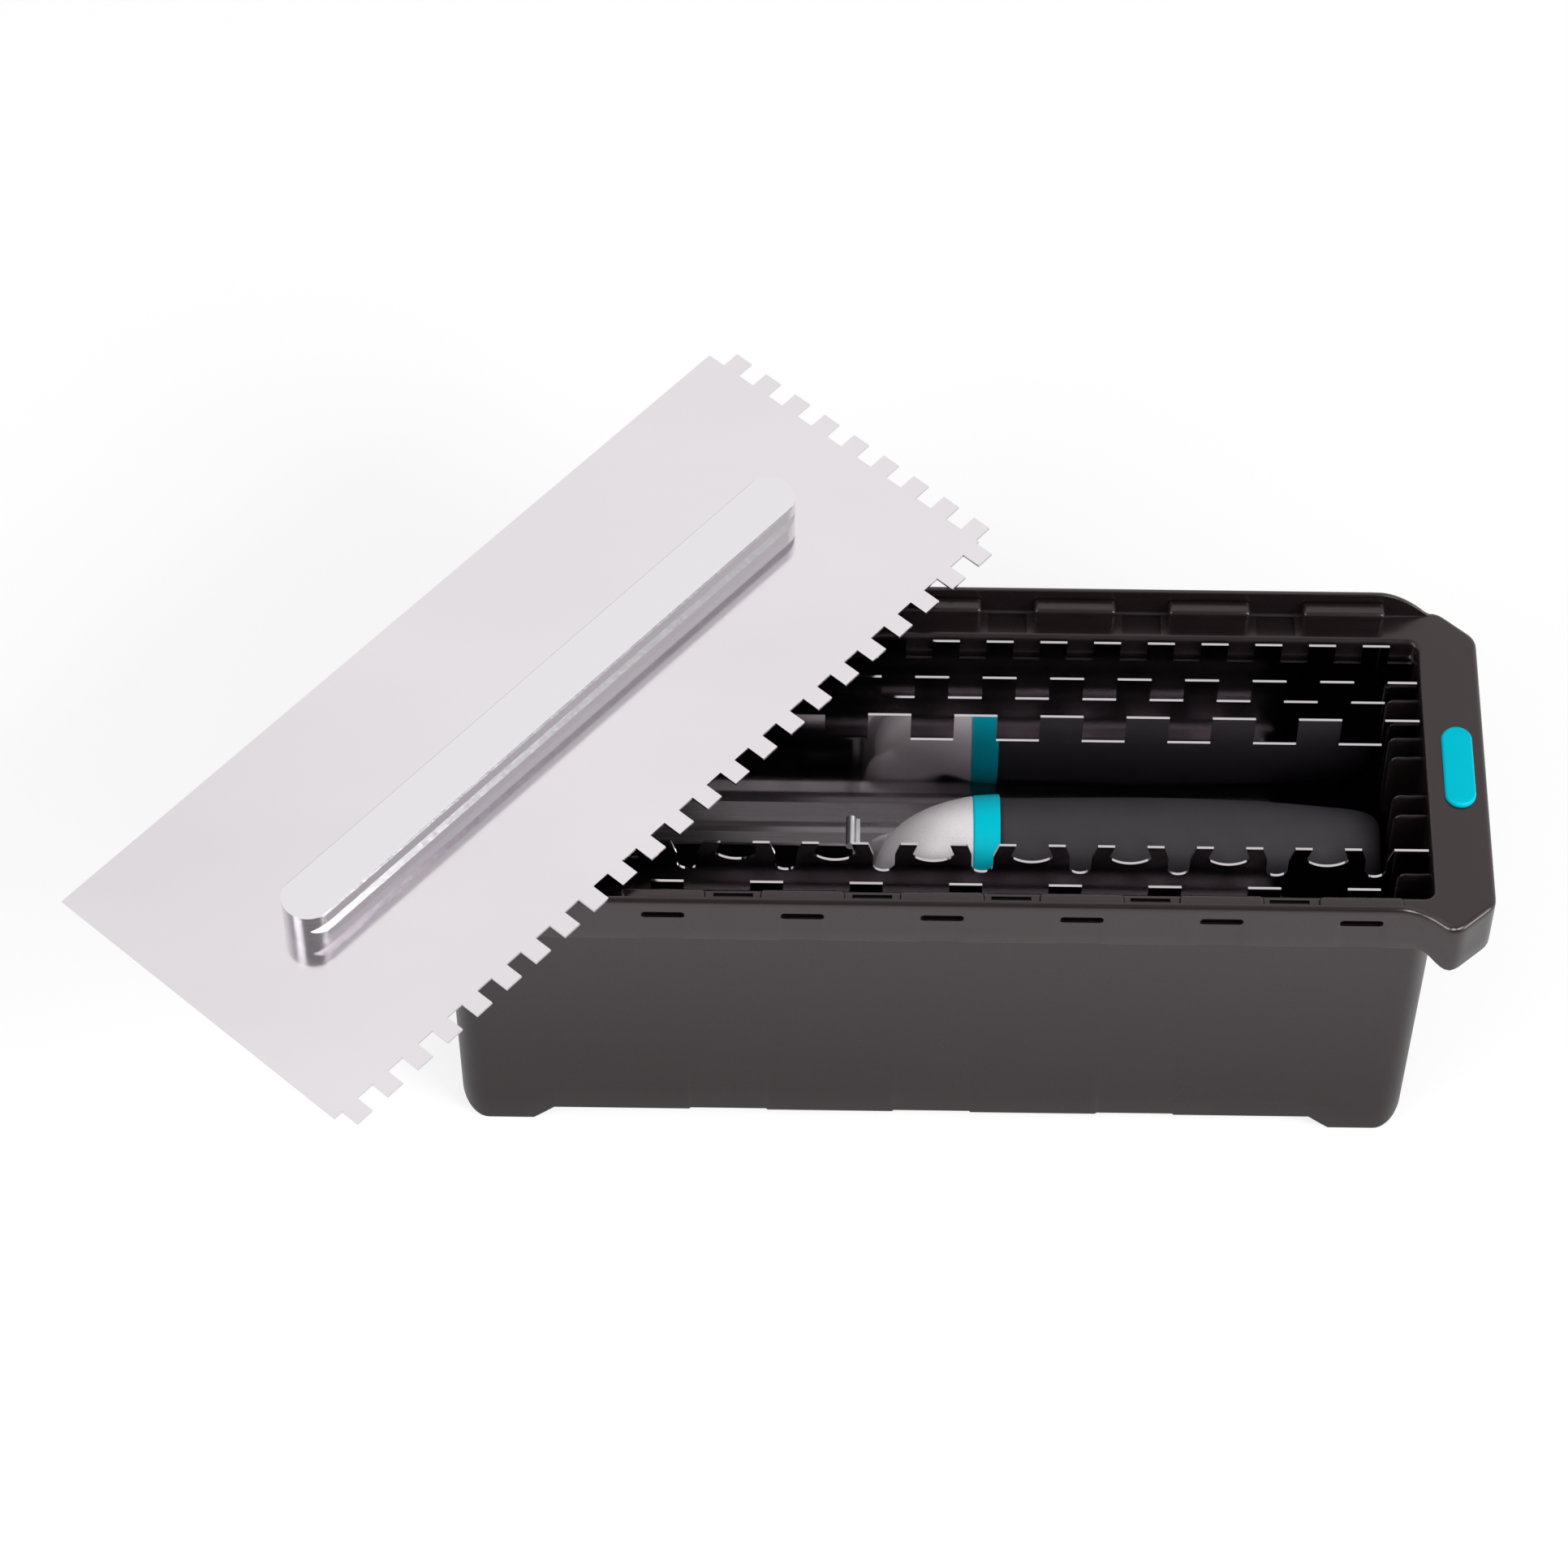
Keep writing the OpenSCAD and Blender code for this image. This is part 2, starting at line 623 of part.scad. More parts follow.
// Extruded channel whose two inner ridges slide into the grooves of any rail.
shoe_mid = shoe_x + shoe_l / 2;
screw_gap = 22;
shoe_edge = 0.8;      // bevel along the shoe's upper edges
module shoe() {
  low = rail_h - flange_h - groove_h - shoe_clear;    // the ridge lies as high as the rail's groove
  tall = shoe_top - floor_z;
  outer = [[shoe_out, 0], [shoe_out, tall - shoe_edge], [shoe_out - shoe_edge, tall]];
  inner = [[shoe_in, shoe_skirt + running], [shoe_in, low + groove_h],
           [shoe_in - groove_d, low + groove_h / 2], [shoe_in, low], [shoe_in, 0]];
  outline = concat(outer, [for (i = [len(outer) - 1 : -1 : 0]) [-outer[i][0], outer[i][1]]],
                   [for (i = [len(inner) - 1 : -1 : 0]) [-inner[i][0], inner[i][1]]], inner);
  color("silver") difference() {
    translate([shoe_x, handle_y, floor_z]) rotate([90, 0, 90]) linear_extrude(height = shoe_l)
      polygon(outline);
    screw_places() translate([0, 0, -shoe_roof - over]) cylinder(h = shoe_roof + 2 * over, d = screw_d);
    // slot that lets the lever's toe through to the rail
    translate([pin_x - toe_t / 2 - 2 * running, handle_y - lever_w / 2 - running,
               shoe_top - shoe_roof - over])
      cube([toe_t + 4 * running + toe_swing, lever_w + 2 * running, shoe_roof + 2 * over]);
  }
}

screw_d = 5;
screw_in = 7.5;    // how far a screw reaches into the casting
screw_head = 1.2;
head_over = 1.75;  // how far a screw's head reaches past its shank
module screw_places() {
  for (s = [0, 1]) translate([neck_foot[0] + s * screw_gap, handle_y, shoe_top]) children();
}

// Countersunk screws driven up through the shoe into the foot of the casting.
module shoe_screws() {
  color("slategray") screw_places() translate([0, 0, -shoe_roof]) {
    cylinder(h = shoe_roof + screw_in, d = screw_d);
    translate([0, 0, -screw_head]) cylinder(h = screw_head, r = screw_d / 2 + head_over);
  }
}

// Centre line, half height and half width of the casting from the ring (t = 0) to its foot (t = 1).
function bez(a, b, c, d, t) = pow(1 - t, 3) * a + 3 * pow(1 - t, 2) * t * b + 3 * (1 - t) * t * t * c
                              + pow(t, 3) * d;
function bez_dir(a, b, c, d, t) = let (v = pow(1 - t, 2) * (b - a) + 2 * (1 - t) * t * (c - b)
                                           + t * t * (d - c)) v / norm(v);
neck_top = [ring_x, handle_z];
neck_pull = 21;    // how far the neck runs straight on from the ring before it turns down
leg_pull = 38;     // how far the leg runs straight up from the foot
ring_step = 0.6;   // step from the ring down to the casting
neck_bend = [neck_top, neck_top - [neck_pull, 0], neck_foot + [0, leg_pull], neck_foot];
function neck_at(t) = bez(neck_bend[0], neck_bend[1], neck_bend[2], neck_bend[3], t);
function neck_dir(t) = bez_dir(neck_bend[0], neck_bend[1], neck_bend[2], neck_bend[3], t);
leg_x = 7.5;       // half thickness of the leg along the handle
leg_y = 9;         // half width of the leg across the handle
neck_taper = 1.6;  // how fast the neck gets thinner below the ring
neck_squeeze = 2.8;    // how fast it gets narrower, to pass between the rails beside it
function neck_r(t) = leg_x + (ring_r - ring_step - leg_x) * pow(1 - t, neck_taper);
function neck_w(t) = leg_y + (ring_r - ring_step - leg_y) * pow(1 - t, neck_squeeze);

// The section is round at the ring. Towards the foot it turns squarer, and its front side is
// hollowed out between two cheeks, which keeps the wall of the casting even.
neck_square = 0.4;     // how much squarer the section is at the foot
hollow_from = 0.36;    // where the hollow starts
hollow_deep = 6.5;
hollow_share = 0.72;   // part of the width that it takes
hollow_run = 0.4;      // share of the neck over which the hollow reaches its full depth
function hollow_at(t) =
  hollow_deep * (1 - cos(180 * min(max((t - hollow_from) / hollow_run, 0), 1))) / 2;
function squared(v, p) = sign(v) * pow(abs(v), p);
function neck_section(a, t) =
  let (p = 1 - neck_square * t, across = squared(sin(a), p), deep = squared(cos(a), p))
  [neck_r(t) * deep + (deep < 0 ? hollow_at(t) * pow(max(1 - pow(across / hollow_share, 2), 0), 0.8) : 0),
   neck_w(t) * across];
neck_rings = 18;
neck_sides = 36;

module neck_loft() {
  pts = [for (i = [0 : neck_rings]) let (t = i / neck_rings, c = neck_at(t), d = neck_dir(t))
         for (j = [0 : neck_sides - 1]) let (q = neck_section(360 * j / neck_sides, t))
         [c[0] - q[0] * d[1], handle_y + q[1], c[1] + q[0] * d[0]]];
  side = [for (i = [0 : neck_rings - 1], j = [0 : neck_sides - 1])
          let (a = i * neck_sides + j, b = i * neck_sides + (j + 1) % neck_sides)
          [a, b, b + neck_sides, a + neck_sides]];
  first = [for (j = [neck_sides - 1 : -1 : 0]) j];
  last = [for (j = [0 : neck_sides - 1]) neck_rings * neck_sides + j];
  polyhedron(points = pts, faces = concat(side, [first, last]), convexity = 4);
}

// Cast neck with its foot pad and the two ears that carry the lever's pin.
ear_t = 2.4;
ear_in = lever_w / 2 + running;
ear_r = 4.2;
foot_pad_l = 40;
foot_pad_h = 9;    // deep enough for the screws
module gooseneck() {
  color("darkgray") difference() {
    union() {
      neck_loft();
      translate([neck_foot[0] - leg_x, handle_y - leg_y, shoe_top]) cube([foot_pad_l, 2 * leg_y, foot_pad_h]);
      for (s = [-1, 1]) translate([pin_x, handle_y + s * (ear_in + ear_t / 2), pin_z]) {
        rotate([90, 0, 0]) cylinder(h = ear_t, r = ear_r, center = true);
        translate([0, -ear_t / 2, shoe_top - pin_z]) cube([neck_foot[0] - pin_x, ear_t, foot_pad_h]);
        translate([-ear_r, -ear_t / 2, shoe_top - pin_z]) cube([2 * ear_r, ear_t, pin_z - shoe_top]);
      }
    }
    screw_places() translate([0, 0, -over]) cylinder(h = screw_in + over, d = screw_d);
    translate([pin_x, handle_y, pin_z]) rotate([90, 0, 0])
      cylinder(h = 2 * (ear_in + ear_t + over), d = pin_d, center = true);
    translate([ring_x - rod_in, handle_y, handle_z]) rotate([0, 90, 0])
      cylinder(h = rod_in + over, d = rod_d);
  }
}

// Steel rod from the casting through ring and grip, with its washer and nut under the end plug.
rod_in = 12;
grip_x = ring_x + ring_l;
rod_past = 9;      // how far the rod goes on past the washer's seat
nut_h = 6.5;
nut_w = 14.8;      // across corners
washer_h = 1.6;
nut_deep = 20;     // from the grip's rear end to the washer's seat
nut_x = grip_x + grip_l - nut_deep;
module along(x) { translate([x, handle_y, handle_z]) rotate([0, 90, 0]) children(); }

module tang_rod() {
  color("slategray") along(ring_x - rod_in) cylinder(h = nut_x + rod_past - ring_x + rod_in, d = rod_d);
}

module tang_washer() {
  color("silver") along(nut_x) difference() {
    cylinder(h = washer_h, r = rod_d);
    translate([0, 0, -over]) cylinder(h = washer_h + 2 * over, d = rod_d);
  }
}

module tang_nut() {
  color("silver") along(nut_x + washer_h) difference() {
    cylinder(h = nut_h, d = nut_w, $fn = 6);
    translate([0, 0, -over]) cylinder(h = nut_h + 2 * over, d = rod_d);
  }
}

ring_edge = 0.4;
module collar_ring() {
  color("darkturquoise") along(ring_x) difference() {
    rotate_extrude($fn = 64)
      polygon([[0, 0], [ring_r - ring_edge, 0], [ring_r, ring_edge], [ring_r, ring_l - ring_edge],
               [ring_r - ring_edge, ring_l], [0, ring_l]]);
    translate([0, 0, -over]) cylinder(h = ring_l + 2 * over, d = rod_d);
  }
}

// Hard core: a ribbed tube over the rod, with a wide bore at the rear for washer, nut and plug.
core_r = 12;
plug_r = 9.5;
core_short = 8;    // how far the core stops before the sleeve's rear end
module grip_core() {
  color("black") along(grip_x) difference() {
    cylinder(h = grip_l - core_short, r = core_r);
    translate([0, 0, -over]) cylinder(h = grip_l, d = rod_d);
    translate([0, 0, nut_x - grip_x]) cylinder(h = grip_l, r = plug_r);
  }
}

// Soft sleeve: slightly barrelled, rounded at the rear.
barrel = 0.9;      // how much thicker the sleeve is at its middle than at the ring
rear_taper = 2.6;  // how much it has narrowed at its rear end
barrel_run = 1.15; // its length over the length of the barrelled stretch
function grip_at(t) = grip_r - barrel + barrel * sin(180 * min(t * barrel_run, 1)) - rear_taper * pow(t, 5);
end_round = 6;
module grip_sleeve() {
  flat = grip_l - end_round;
  side = [for (i = [0 : 12]) [grip_at(i / 12 * flat / grip_l), flat * i / 12]];
  r_end = grip_at(flat / grip_l);
  nose = [for (a = [15 : 15 : 90]) [r_end - end_round + end_round * cos(a), flat + end_round * sin(a)]];
  color([0.2, 0.2, 0.21]) along(grip_x) difference() {
    rotate_extrude($fn = 64) polygon(concat([[0, 0]], side, nose, [[0, grip_l]]));
    translate([0, 0, -over]) cylinder(h = grip_l - core_short + over, r = core_r);
    cylinder(h = grip_l + over, r = plug_r);
  }
}

plug_h = 10;
plug_sunk = 0.4;   // how far the plug lies below the sleeve's end
module end_plug() {
  color([0.12, 0.12, 0.13]) along(grip_x + grip_l - plug_h) cylinder(h = plug_h - plug_sunk, r = plug_r);
}

// ---------- lock lever ----------

toe_t = 2.8;       // thickness of the lever's toe
toe_down = 0.6;    // how far the toe stands below the shoe's roof
toe_swing = 2.4;   // how far the toe travels when the lever is pulled
hub_r = 4;
tip_bulge = 0.6;   // how much thicker than the strip its rolled tip is
pin_play = 0.2;
module lock_lever() {
  color("silver") translate([pin_x, handle_y + lever_w / 2, pin_z]) rotate([90, 0, 0]) difference() {
    linear_extrude(height = lever_w) union() {
      circle(hub_r);
      translate([-lever_t / 2, 0]) square([lever_t, lever_up]);
      translate([-lever_t / 2 - tip_bulge, lever_up]) circle(lever_t / 2 + tip_bulge);
      // toe that drops between the shoe's walls and bears on the rail
      translate([-toe_t / 2, shoe_top - shoe_roof - toe_down - pin_z])
        square([toe_t, pin_z - shoe_top + shoe_roof + toe_down]);
    }
    translate([0, 0, -over]) cylinder(h = lever_w + 2 * over, d = pin_d + pin_play);
    // room for the spring in the middle of the hub
    translate([-2 * hub_r, -hub_r - over, (lever_w - spring_room) / 2])
      cube([4 * hub_r, 2 * hub_r + over, spring_room]);
  }
}

pin_head = 1.4;
pin_flange = 1.2;  // how far the pin's heads reach past its shank
module lever_pin() {
  reach = ear_in + ear_t;
  color("slategray") translate([pin_x, handle_y + reach, pin_z]) rotate([90, 0, 0]) {
    cylinder(h = 2 * reach, d = pin_d);
    translate([0, 0, -pin_head]) cylinder(h = pin_head, r = pin_d / 2 + pin_flange);
    translate([0, 0, 2 * reach]) cylinder(h = pin_head, r = pin_d / 2 + pin_flange);
  }
}

spring_room = 5;
wire = 0.8;
turns = 3.75;
coil_play = 0.15;  // between the coil and its pin
coil_gap = 0.25;   // between one turn and the next
coil_r = pin_d / 2 + wire / 2 + coil_play;
leg_l = 6;
coil_sides = 8;
// Wire's centre line: one leg up against the lever, the coil round the pin, one leg on the casting.
function coil_at(i, n) = let (a = 180 + 360 * turns * i / n)
  [coil_r * cos(a), (i / n - 0.5) * turns * (wire + coil_gap), coil_r * sin(a)];
module lever_spring() {
  n = 12 * ceil(turns);
  wound = [for (i = [0 : n]) coil_at(i, n)];
  path = concat([wound[0] + [0, 0, leg_l], wound[0] + [0, 0, leg_l / 2]], wound,
                [wound[n] + [leg_l / 2, 0, 0], wound[n] + [leg_l, 0, 0]]);
  m = len(path) - 1;
  pts = [for (i = [0 : m])
         let (d = path[min(i + 1, m)] - path[max(i - 1, 0)], q = cross(d, [0, 1, 0]), e = q / norm(q),
              g = cross(e, d) / norm(cross(e, d)))
         for (j = [0 : coil_sides - 1]) let (a = 360 * j / coil_sides)
         path[i] + wire / 2 * (cos(a) * e + sin(a) * g)];
  side = [for (i = [0 : m - 1], j = [0 : coil_sides - 1])
          let (a = i * coil_sides + j, b = i * coil_sides + (j + 1) % coil_sides)
          [a, b, b + coil_sides, a + coil_sides]];
  color("dimgray") translate([pin_x, handle_y, pin_z])
    polyhedron(points = pts, convexity = 6,
               faces = concat(side, [[for (j = [coil_sides - 1 : -1 : 0]) j],
                                     [for (j = [0 : coil_sides - 1]) m * coil_sides + j]]));
}

storage_box();
inlay_right();
inlay_left();
blade_fine();
rail_fine();
rivets_fine();
blade_small();
rail_small();
rivets_small();
blade_medium();
rail_medium();
rivets_medium();
blade_large();
rail_large();
rivets_large();
blade_mixed();
rail_mixed();
rivets_mixed();
blade_wide();
rail_wide();
rivets_wide();
shoe();
shoe_screws();
gooseneck();
collar_ring();
grip_core();
grip_sleeve();
tang_rod();
tang_washer();
tang_nut();
end_plug();
lock_lever();
lever_pin();
lever_spring();
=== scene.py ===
# %% [markdown]
# # A notched trowel kit
#
# Five notched blades stand in it, a sixth lies across its rim, and a detachable handle lies in
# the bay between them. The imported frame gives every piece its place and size. This script gives
# the pieces their finish, and it models the soft curves of the moulded and cast pieces as
# surfaces worked out with numpy.

# %% Loading the frame
import math

import bmesh
import bpy
import numpy as np
from mathutils import Matrix, Vector


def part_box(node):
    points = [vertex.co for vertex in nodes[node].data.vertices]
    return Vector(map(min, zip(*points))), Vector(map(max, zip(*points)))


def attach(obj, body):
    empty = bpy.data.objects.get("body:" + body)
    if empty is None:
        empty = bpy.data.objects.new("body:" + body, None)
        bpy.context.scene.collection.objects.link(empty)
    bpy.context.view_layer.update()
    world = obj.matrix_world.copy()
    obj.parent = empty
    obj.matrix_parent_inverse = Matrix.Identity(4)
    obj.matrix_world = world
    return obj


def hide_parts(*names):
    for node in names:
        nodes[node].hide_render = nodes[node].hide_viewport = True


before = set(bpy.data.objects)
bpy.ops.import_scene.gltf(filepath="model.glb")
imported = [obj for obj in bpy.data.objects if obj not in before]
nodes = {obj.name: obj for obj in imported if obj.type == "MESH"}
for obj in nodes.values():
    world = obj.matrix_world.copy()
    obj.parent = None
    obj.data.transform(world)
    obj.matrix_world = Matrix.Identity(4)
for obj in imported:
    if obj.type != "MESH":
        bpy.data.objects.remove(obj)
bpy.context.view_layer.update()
scene = bpy.context.scene
PLATES = ("fine", "small", "medium", "large", "mixed", "wide")

# %% [markdown]
# ## Colours
#
# A colour is easiest to name as it looks on a screen, but shaders work with linear light. One
# small function turns the first into the second, so that every finish below can be written in
# the 0 to 255 numbers that a paint program shows.

# %% Screen colours to linear light
def shade(red, green, blue):
    """Linear RGBA of a screen colour given as three numbers from 0 to 255."""
    def linear(value):
        value = value / 255
        return value / 12.92 if value <= 0.04045 else ((value + 0.055) / 1.055) ** 2.4
    return (linear(red), linear(green), linear(blue), 1.0)


# %% [markdown]
# ## Building a finish
#
# Each finish starts from one Principled shader. Fine grain comes from a noise texture that
# drives a Bump node. The texture reads Object coordinates, and every object here sits at the
# origin, so a size in the texture is a size on the real thing: a scale of 1000 is about one
# grain per millimetre.

# %% A finish with a plain shader
def finish_with(name, colour, metallic, roughness, **sockets):
    """A new material with one Principled shader: returns the material, its nodes, the shader."""
    material = bpy.data.materials.new(name)
    material.use_nodes = True
    tree = material.node_tree
    shader = tree.nodes["Principled BSDF"]
    shader.inputs["Base Color"].default_value = colour
    shader.inputs["Metallic"].default_value = metallic
    shader.inputs["Roughness"].default_value = roughness
    for socket, value in sockets.items():
        shader.inputs[socket.replace("_", " ")].default_value = value
    return material, tree, shader


def stretched_noise(tree, scale, stretch=(1, 1, 1), turn=(0, 0, 0), detail=4.0):
    """A noise texture on Object coordinates. A stretch below 1 draws the marks out on its axis."""
    place = tree.nodes.new("ShaderNodeTexCoord")
    mapping = tree.nodes.new("ShaderNodeMapping")
    mapping.inputs["Scale"].default_value = stretch
    mapping.inputs["Rotation"].default_value = turn
    noise = tree.nodes.new("ShaderNodeTexNoise")
    noise.inputs["Scale"].default_value = scale
    noise.inputs["Detail"].default_value = detail
    tree.links.new(place.outputs["Object"], mapping.inputs["Vector"])
    tree.links.new(mapping.outputs["Vector"], noise.inputs["Vector"])
    return noise.outputs["Fac"]


def between(tree, value, low, high):
    """Spreads a texture's middle values over the range from low to high."""
    ramp = tree.nodes.new("ShaderNodeMapRange")
    ramp.inputs["From Min"].default_value = 0.3
    ramp.inputs["From Max"].default_value = 0.7
    ramp.inputs["To Min"].default_value = low
    ramp.inputs["To Max"].default_value = high
    tree.links.new(value, ramp.inputs["Value"])
    return ramp.outputs["Result"]


def bump(tree, shader, height, distance, strength):
    """Shades the surface as if it rose by distance metres where height is 1."""
    node = tree.nodes.new("ShaderNodeBump")
    node.inputs["Strength"].default_value = strength
    node.inputs["Distance"].default_value = distance
    tree.links.new(height, node.inputs["Height"])
    tree.links.new(node.outputs["Normal"], shader.inputs["Normal"])


def two_tone(tree, shader, value, dark, light):
    """Mixes two close colours by a texture."""
    mix = tree.nodes.new("ShaderNodeMix")
    mix.data_type = "RGBA"
    mix.inputs[6].default_value = dark
    mix.inputs[7].default_value = light
    tree.links.new(value, mix.inputs[0])
    tree.links.new(mix.outputs[2], shader.inputs["Base Color"])


# %% [markdown]
# ## The plastics and the rubber
#
# The box is moulded in a charcoal plastic. Its mould was lightly eroded, so the surface has a
# fine even grain and a soft, wide sheen. The teal pieces come from a smoother mould. The grip is
# a soft rubber with almost no sheen.

# %% Charcoal, teal and black
def moulded_plastic():
    """Charcoal with faint patches. Its sheen is a little warm."""
    material, tree, shader = finish_with("box_plastic", shade(19, 14, 15), 0.0, 0.27,
                                         Specular_IOR_Level=0.64,
                                         Specular_Tint=(1, 0.85, 0.88, 1))
    patches = stretched_noise(tree, 9, detail=2.0)
    two_tone(tree, shader, between(tree, patches, 0, 1), shade(18, 13, 14), shade(22, 16, 17))
    tree.links.new(between(tree, stretched_noise(tree, 60), 0.24, 0.3),
                   shader.inputs["Roughness"])
    bump(tree, shader, stretched_noise(tree, 2600, detail=2.0), 0.00002, 0.3)
    return material


def teal_plastic(dark, light):
    """Teal that wanders between two close screen colours."""
    material, tree, shader = finish_with("teal_plastic", shade(*dark), 0.0, 0.42,
                                         Specular_IOR_Level=0.08)
    two_tone(tree, shader, between(tree, stretched_noise(tree, 40, detail=2.0), 0, 1),
             shade(*dark), shade(*light))
    bump(tree, shader, stretched_noise(tree, 2200, detail=2.0), 0.00002, 0.4)
    return material


def soft_rubber(name="grip_rubber", colour=(45, 41, 46), roughness=0.62):
    """A dull black whose tone varies by 7 parts in 100 either way."""
    material, tree, shader = finish_with(name, shade(*colour), 0.0, roughness)
    shades = [shade(*(value * factor for value in colour)) for factor in (0.93, 1.07)]
    two_tone(tree, shader, between(tree, stretched_noise(tree, 30, detail=2.0), 0, 1), *shades)
    tree.links.new(between(tree, stretched_noise(tree, 80), roughness - 0.04, roughness + 0.06),
                   shader.inputs["Roughness"])
    bump(tree, shader, stretched_noise(tree, 1800, detail=3.0), 0.00005, 0.6)
    return material


# %% [markdown]
# ## The metals
#
# The blades are polished stainless sheet: a clear mirror with a light haze, and rolling marks
# along its length. The rails are extruded aluminium, brighter, with milling scratches that only
# change how dull it is. The neck is a tumbled casting with a grain that can be felt.

# %% Steel and aluminium
def polished_sheet(name, turn, haze, colour):
    """turn is the blade's heading in radians, so that the rolling marks run along it."""
    material, tree, shader = finish_with(name, shade(*colour), 1.0, haze)
    cloud = between(tree, stretched_noise(tree, 7, stretch=(0.5, 1, 1), turn=(0, 0, -turn)), 0, 1)
    two_tone(tree, shader, cloud, *(shade(*(v * k for v in colour)) for k in (0.97, 1.02)))
    marks = stretched_noise(tree, 260, stretch=(0.03, 1, 1), turn=(0, 0, -turn), detail=3.0)
    tree.links.new(between(tree, marks, haze - 0.015, haze + 0.02), shader.inputs["Roughness"])
    bump(tree, shader, stretched_noise(tree, 6, detail=1.0), 0.0002, 0.05)
    return material


def milled_aluminium(name, turn, colour, roughness=0.2):
    """Bright metal with fine scratches along the heading turn, in radians."""
    material, tree, shader = finish_with(name, shade(*colour), 1.0, roughness)
    scratches = stretched_noise(tree, 1400, stretch=(0.02, 1, 1), turn=(0, 0, -turn), detail=5.0)
    tree.links.new(between(tree, scratches, roughness - 0.03, roughness + 0.03),
                   shader.inputs["Roughness"])
    return material


def cast_aluminium():
    """A pale casting, with one grain for its tone, its dullness and its relief."""
    material, tree, shader = finish_with("cast_aluminium", shade(238, 233, 235), 0.3, 0.46)
    grain = stretched_noise(tree, 2400, detail=4.0)
    two_tone(tree, shader, between(tree, grain, 0, 1), shade(230, 225, 227), shade(246, 241, 243))
    tree.links.new(between(tree, grain, 0.42, 0.55), shader.inputs["Roughness"])
    bump(tree, shader, grain, 0.00008, 0.5)
    return material


def plain_steel(name, colour, roughness):
    """Small metal pieces, slightly uneven in how dull they are."""
    material, tree, shader = finish_with(name, shade(*colour), 1.0, roughness)
    tree.links.new(between(tree, stretched_noise(tree, 300), roughness - 0.05, roughness + 0.08),
                   shader.inputs["Roughness"])
    return material


# %% Dressing a piece
def dress(node, material):
    """Gives a CAD node one finish in place of what it was packed with."""
    slots = nodes[node].data.materials
    slots.clear()
    slots.append(material)


def heading_of(node):
    """Angle of a flat node's longest direction seen from above, from its own corners."""
    corners = np.empty(len(nodes[node].data.vertices) * 3)
    nodes[node].data.vertices.foreach_get("co", corners)
    flat = corners.reshape(-1, 3)[:, :2]
    spread = np.linalg.eigh(np.cov((flat - flat.mean(0)).T))[1][:, -1]
    return math.atan2(spread[1], spread[0])


# %% [markdown]
# ## Who wears what
#
# The lying blade mirrors the white room, and the blades in the box mirror the dark bay. The blades
# and rails in the box also get a darker copy of the same steel and aluminium: painted shade. The
# pills face the light and get a darker copy of the teal than the ring: painted shade.

# %% Finishes on the frame's own pieces
plastic, rubber = moulded_plastic(), soft_rubber()
# The pills' darker teal copy is painted shade: they face the light.
teal, pill_teal = (teal_plastic((0, green, green + 20), (0, green + 8, green + 28))
                   for green in (196, 180))
core = soft_rubber("core_plastic", (30, 29, 31), 0.5)
casting = cast_aluminium()
zinc = plain_steel("zinc_steel", (190, 192, 196), 0.3)
spring_steel = plain_steel("spring_steel", (120, 120, 124), 0.3)
lying = heading_of("rail_fine")
print("the lying blade is turned", round(math.degrees(lying), 1), "degrees")
for plate in PLATES:
    turn = lying if plate == "fine" else 0.0
    # The darker sheet colour of the blades in the box is painted shade.
    look = (0.12, (224, 219, 223)) if plate == "fine" else (0.09, (196, 190, 193))
    dress("blade_" + plate, polished_sheet("sheet_" + plate, turn, *look))
    # The darker aluminium of the rails in the box is painted shade.
    tone = (226, 223, 227) if plate == "fine" else (206, 203, 205)
    dress("rail_" + plate, milled_aluminium("rail_" + plate, turn, tone))
    dress("rivets_" + plate, plain_steel("rivet_" + plate, (205, 203, 206), 0.22))
for node in ("shoe_screws", "tang_rod", "tang_washer", "tang_nut", "lever_pin"):
    dress(node, zinc)
dress("grip_core", core)
dress("lever_spring", spring_steel)
shoe_metal = milled_aluminium("shoe_aluminium", 0.0, (205, 205, 207), 0.32)
dress("shoe", shoe_metal)
dress("lock_lever", shoe_metal)

# %% [markdown]
# ## From numpy arrays to a mesh
#
# Most new surfaces here are grids: rows of points with the same number of points in each row.
# Joining neighbours gives four-sided faces. A grid closed on itself wraps its last column round
# to the first. Points that fall on each other, as at a pole, are merged at the end, and then the
# faces are turned outwards.

# %% Grids, welding and placing
MM = 0.001
MERGE = 0.002 * MM


def grid_faces(rows, columns, closed):
    """Corner numbers of the faces between a grid's points, as an array of fours."""
    row, column = np.meshgrid(np.arange(rows - 1), np.arange(columns if closed else columns - 1),
                              indexing="ij")
    first = row * columns + column
    right = row * columns + (column + 1) % columns
    return np.stack([first, right, right + columns, first + columns], -1).reshape(-1, 4)


def weld(mesh):
    """Merges points that fall on each other and turns every face outwards."""
    work = bmesh.new()
    work.from_mesh(mesh)
    bmesh.ops.remove_doubles(work, verts=work.verts, dist=MERGE)
    bmesh.ops.dissolve_degenerate(work, edges=work.edges, dist=MERGE)
    bmesh.ops.recalc_face_normals(work, faces=work.faces)
    work.to_mesh(mesh)
    work.free()


def mesh_of(name, grids):
    """One mesh from a list of (points, closed) grids of rows x columns x 3, in millimetres."""
    points, faces, count = [], [], 0
    for grid, closed in grids:
        rows, columns = grid.shape[:2]
        points.append(grid.reshape(-1, 3) * MM)
        faces.append(grid_faces(rows, columns, closed) + count)
        count += rows * columns
    mesh = bpy.data.meshes.new(name)
    mesh.from_pydata(np.concatenate(points), [], np.concatenate(faces).tolist())
    weld(mesh)
    return mesh


def soften(mesh, soft_angle):
    """Smooth shading, with an edge left sharp where its two faces turn more than soft_angle."""
    mesh.polygons.foreach_set("use_smooth", np.ones(len(mesh.polygons), bool))
    mesh.set_sharp_from_angle(angle=math.radians(soft_angle))


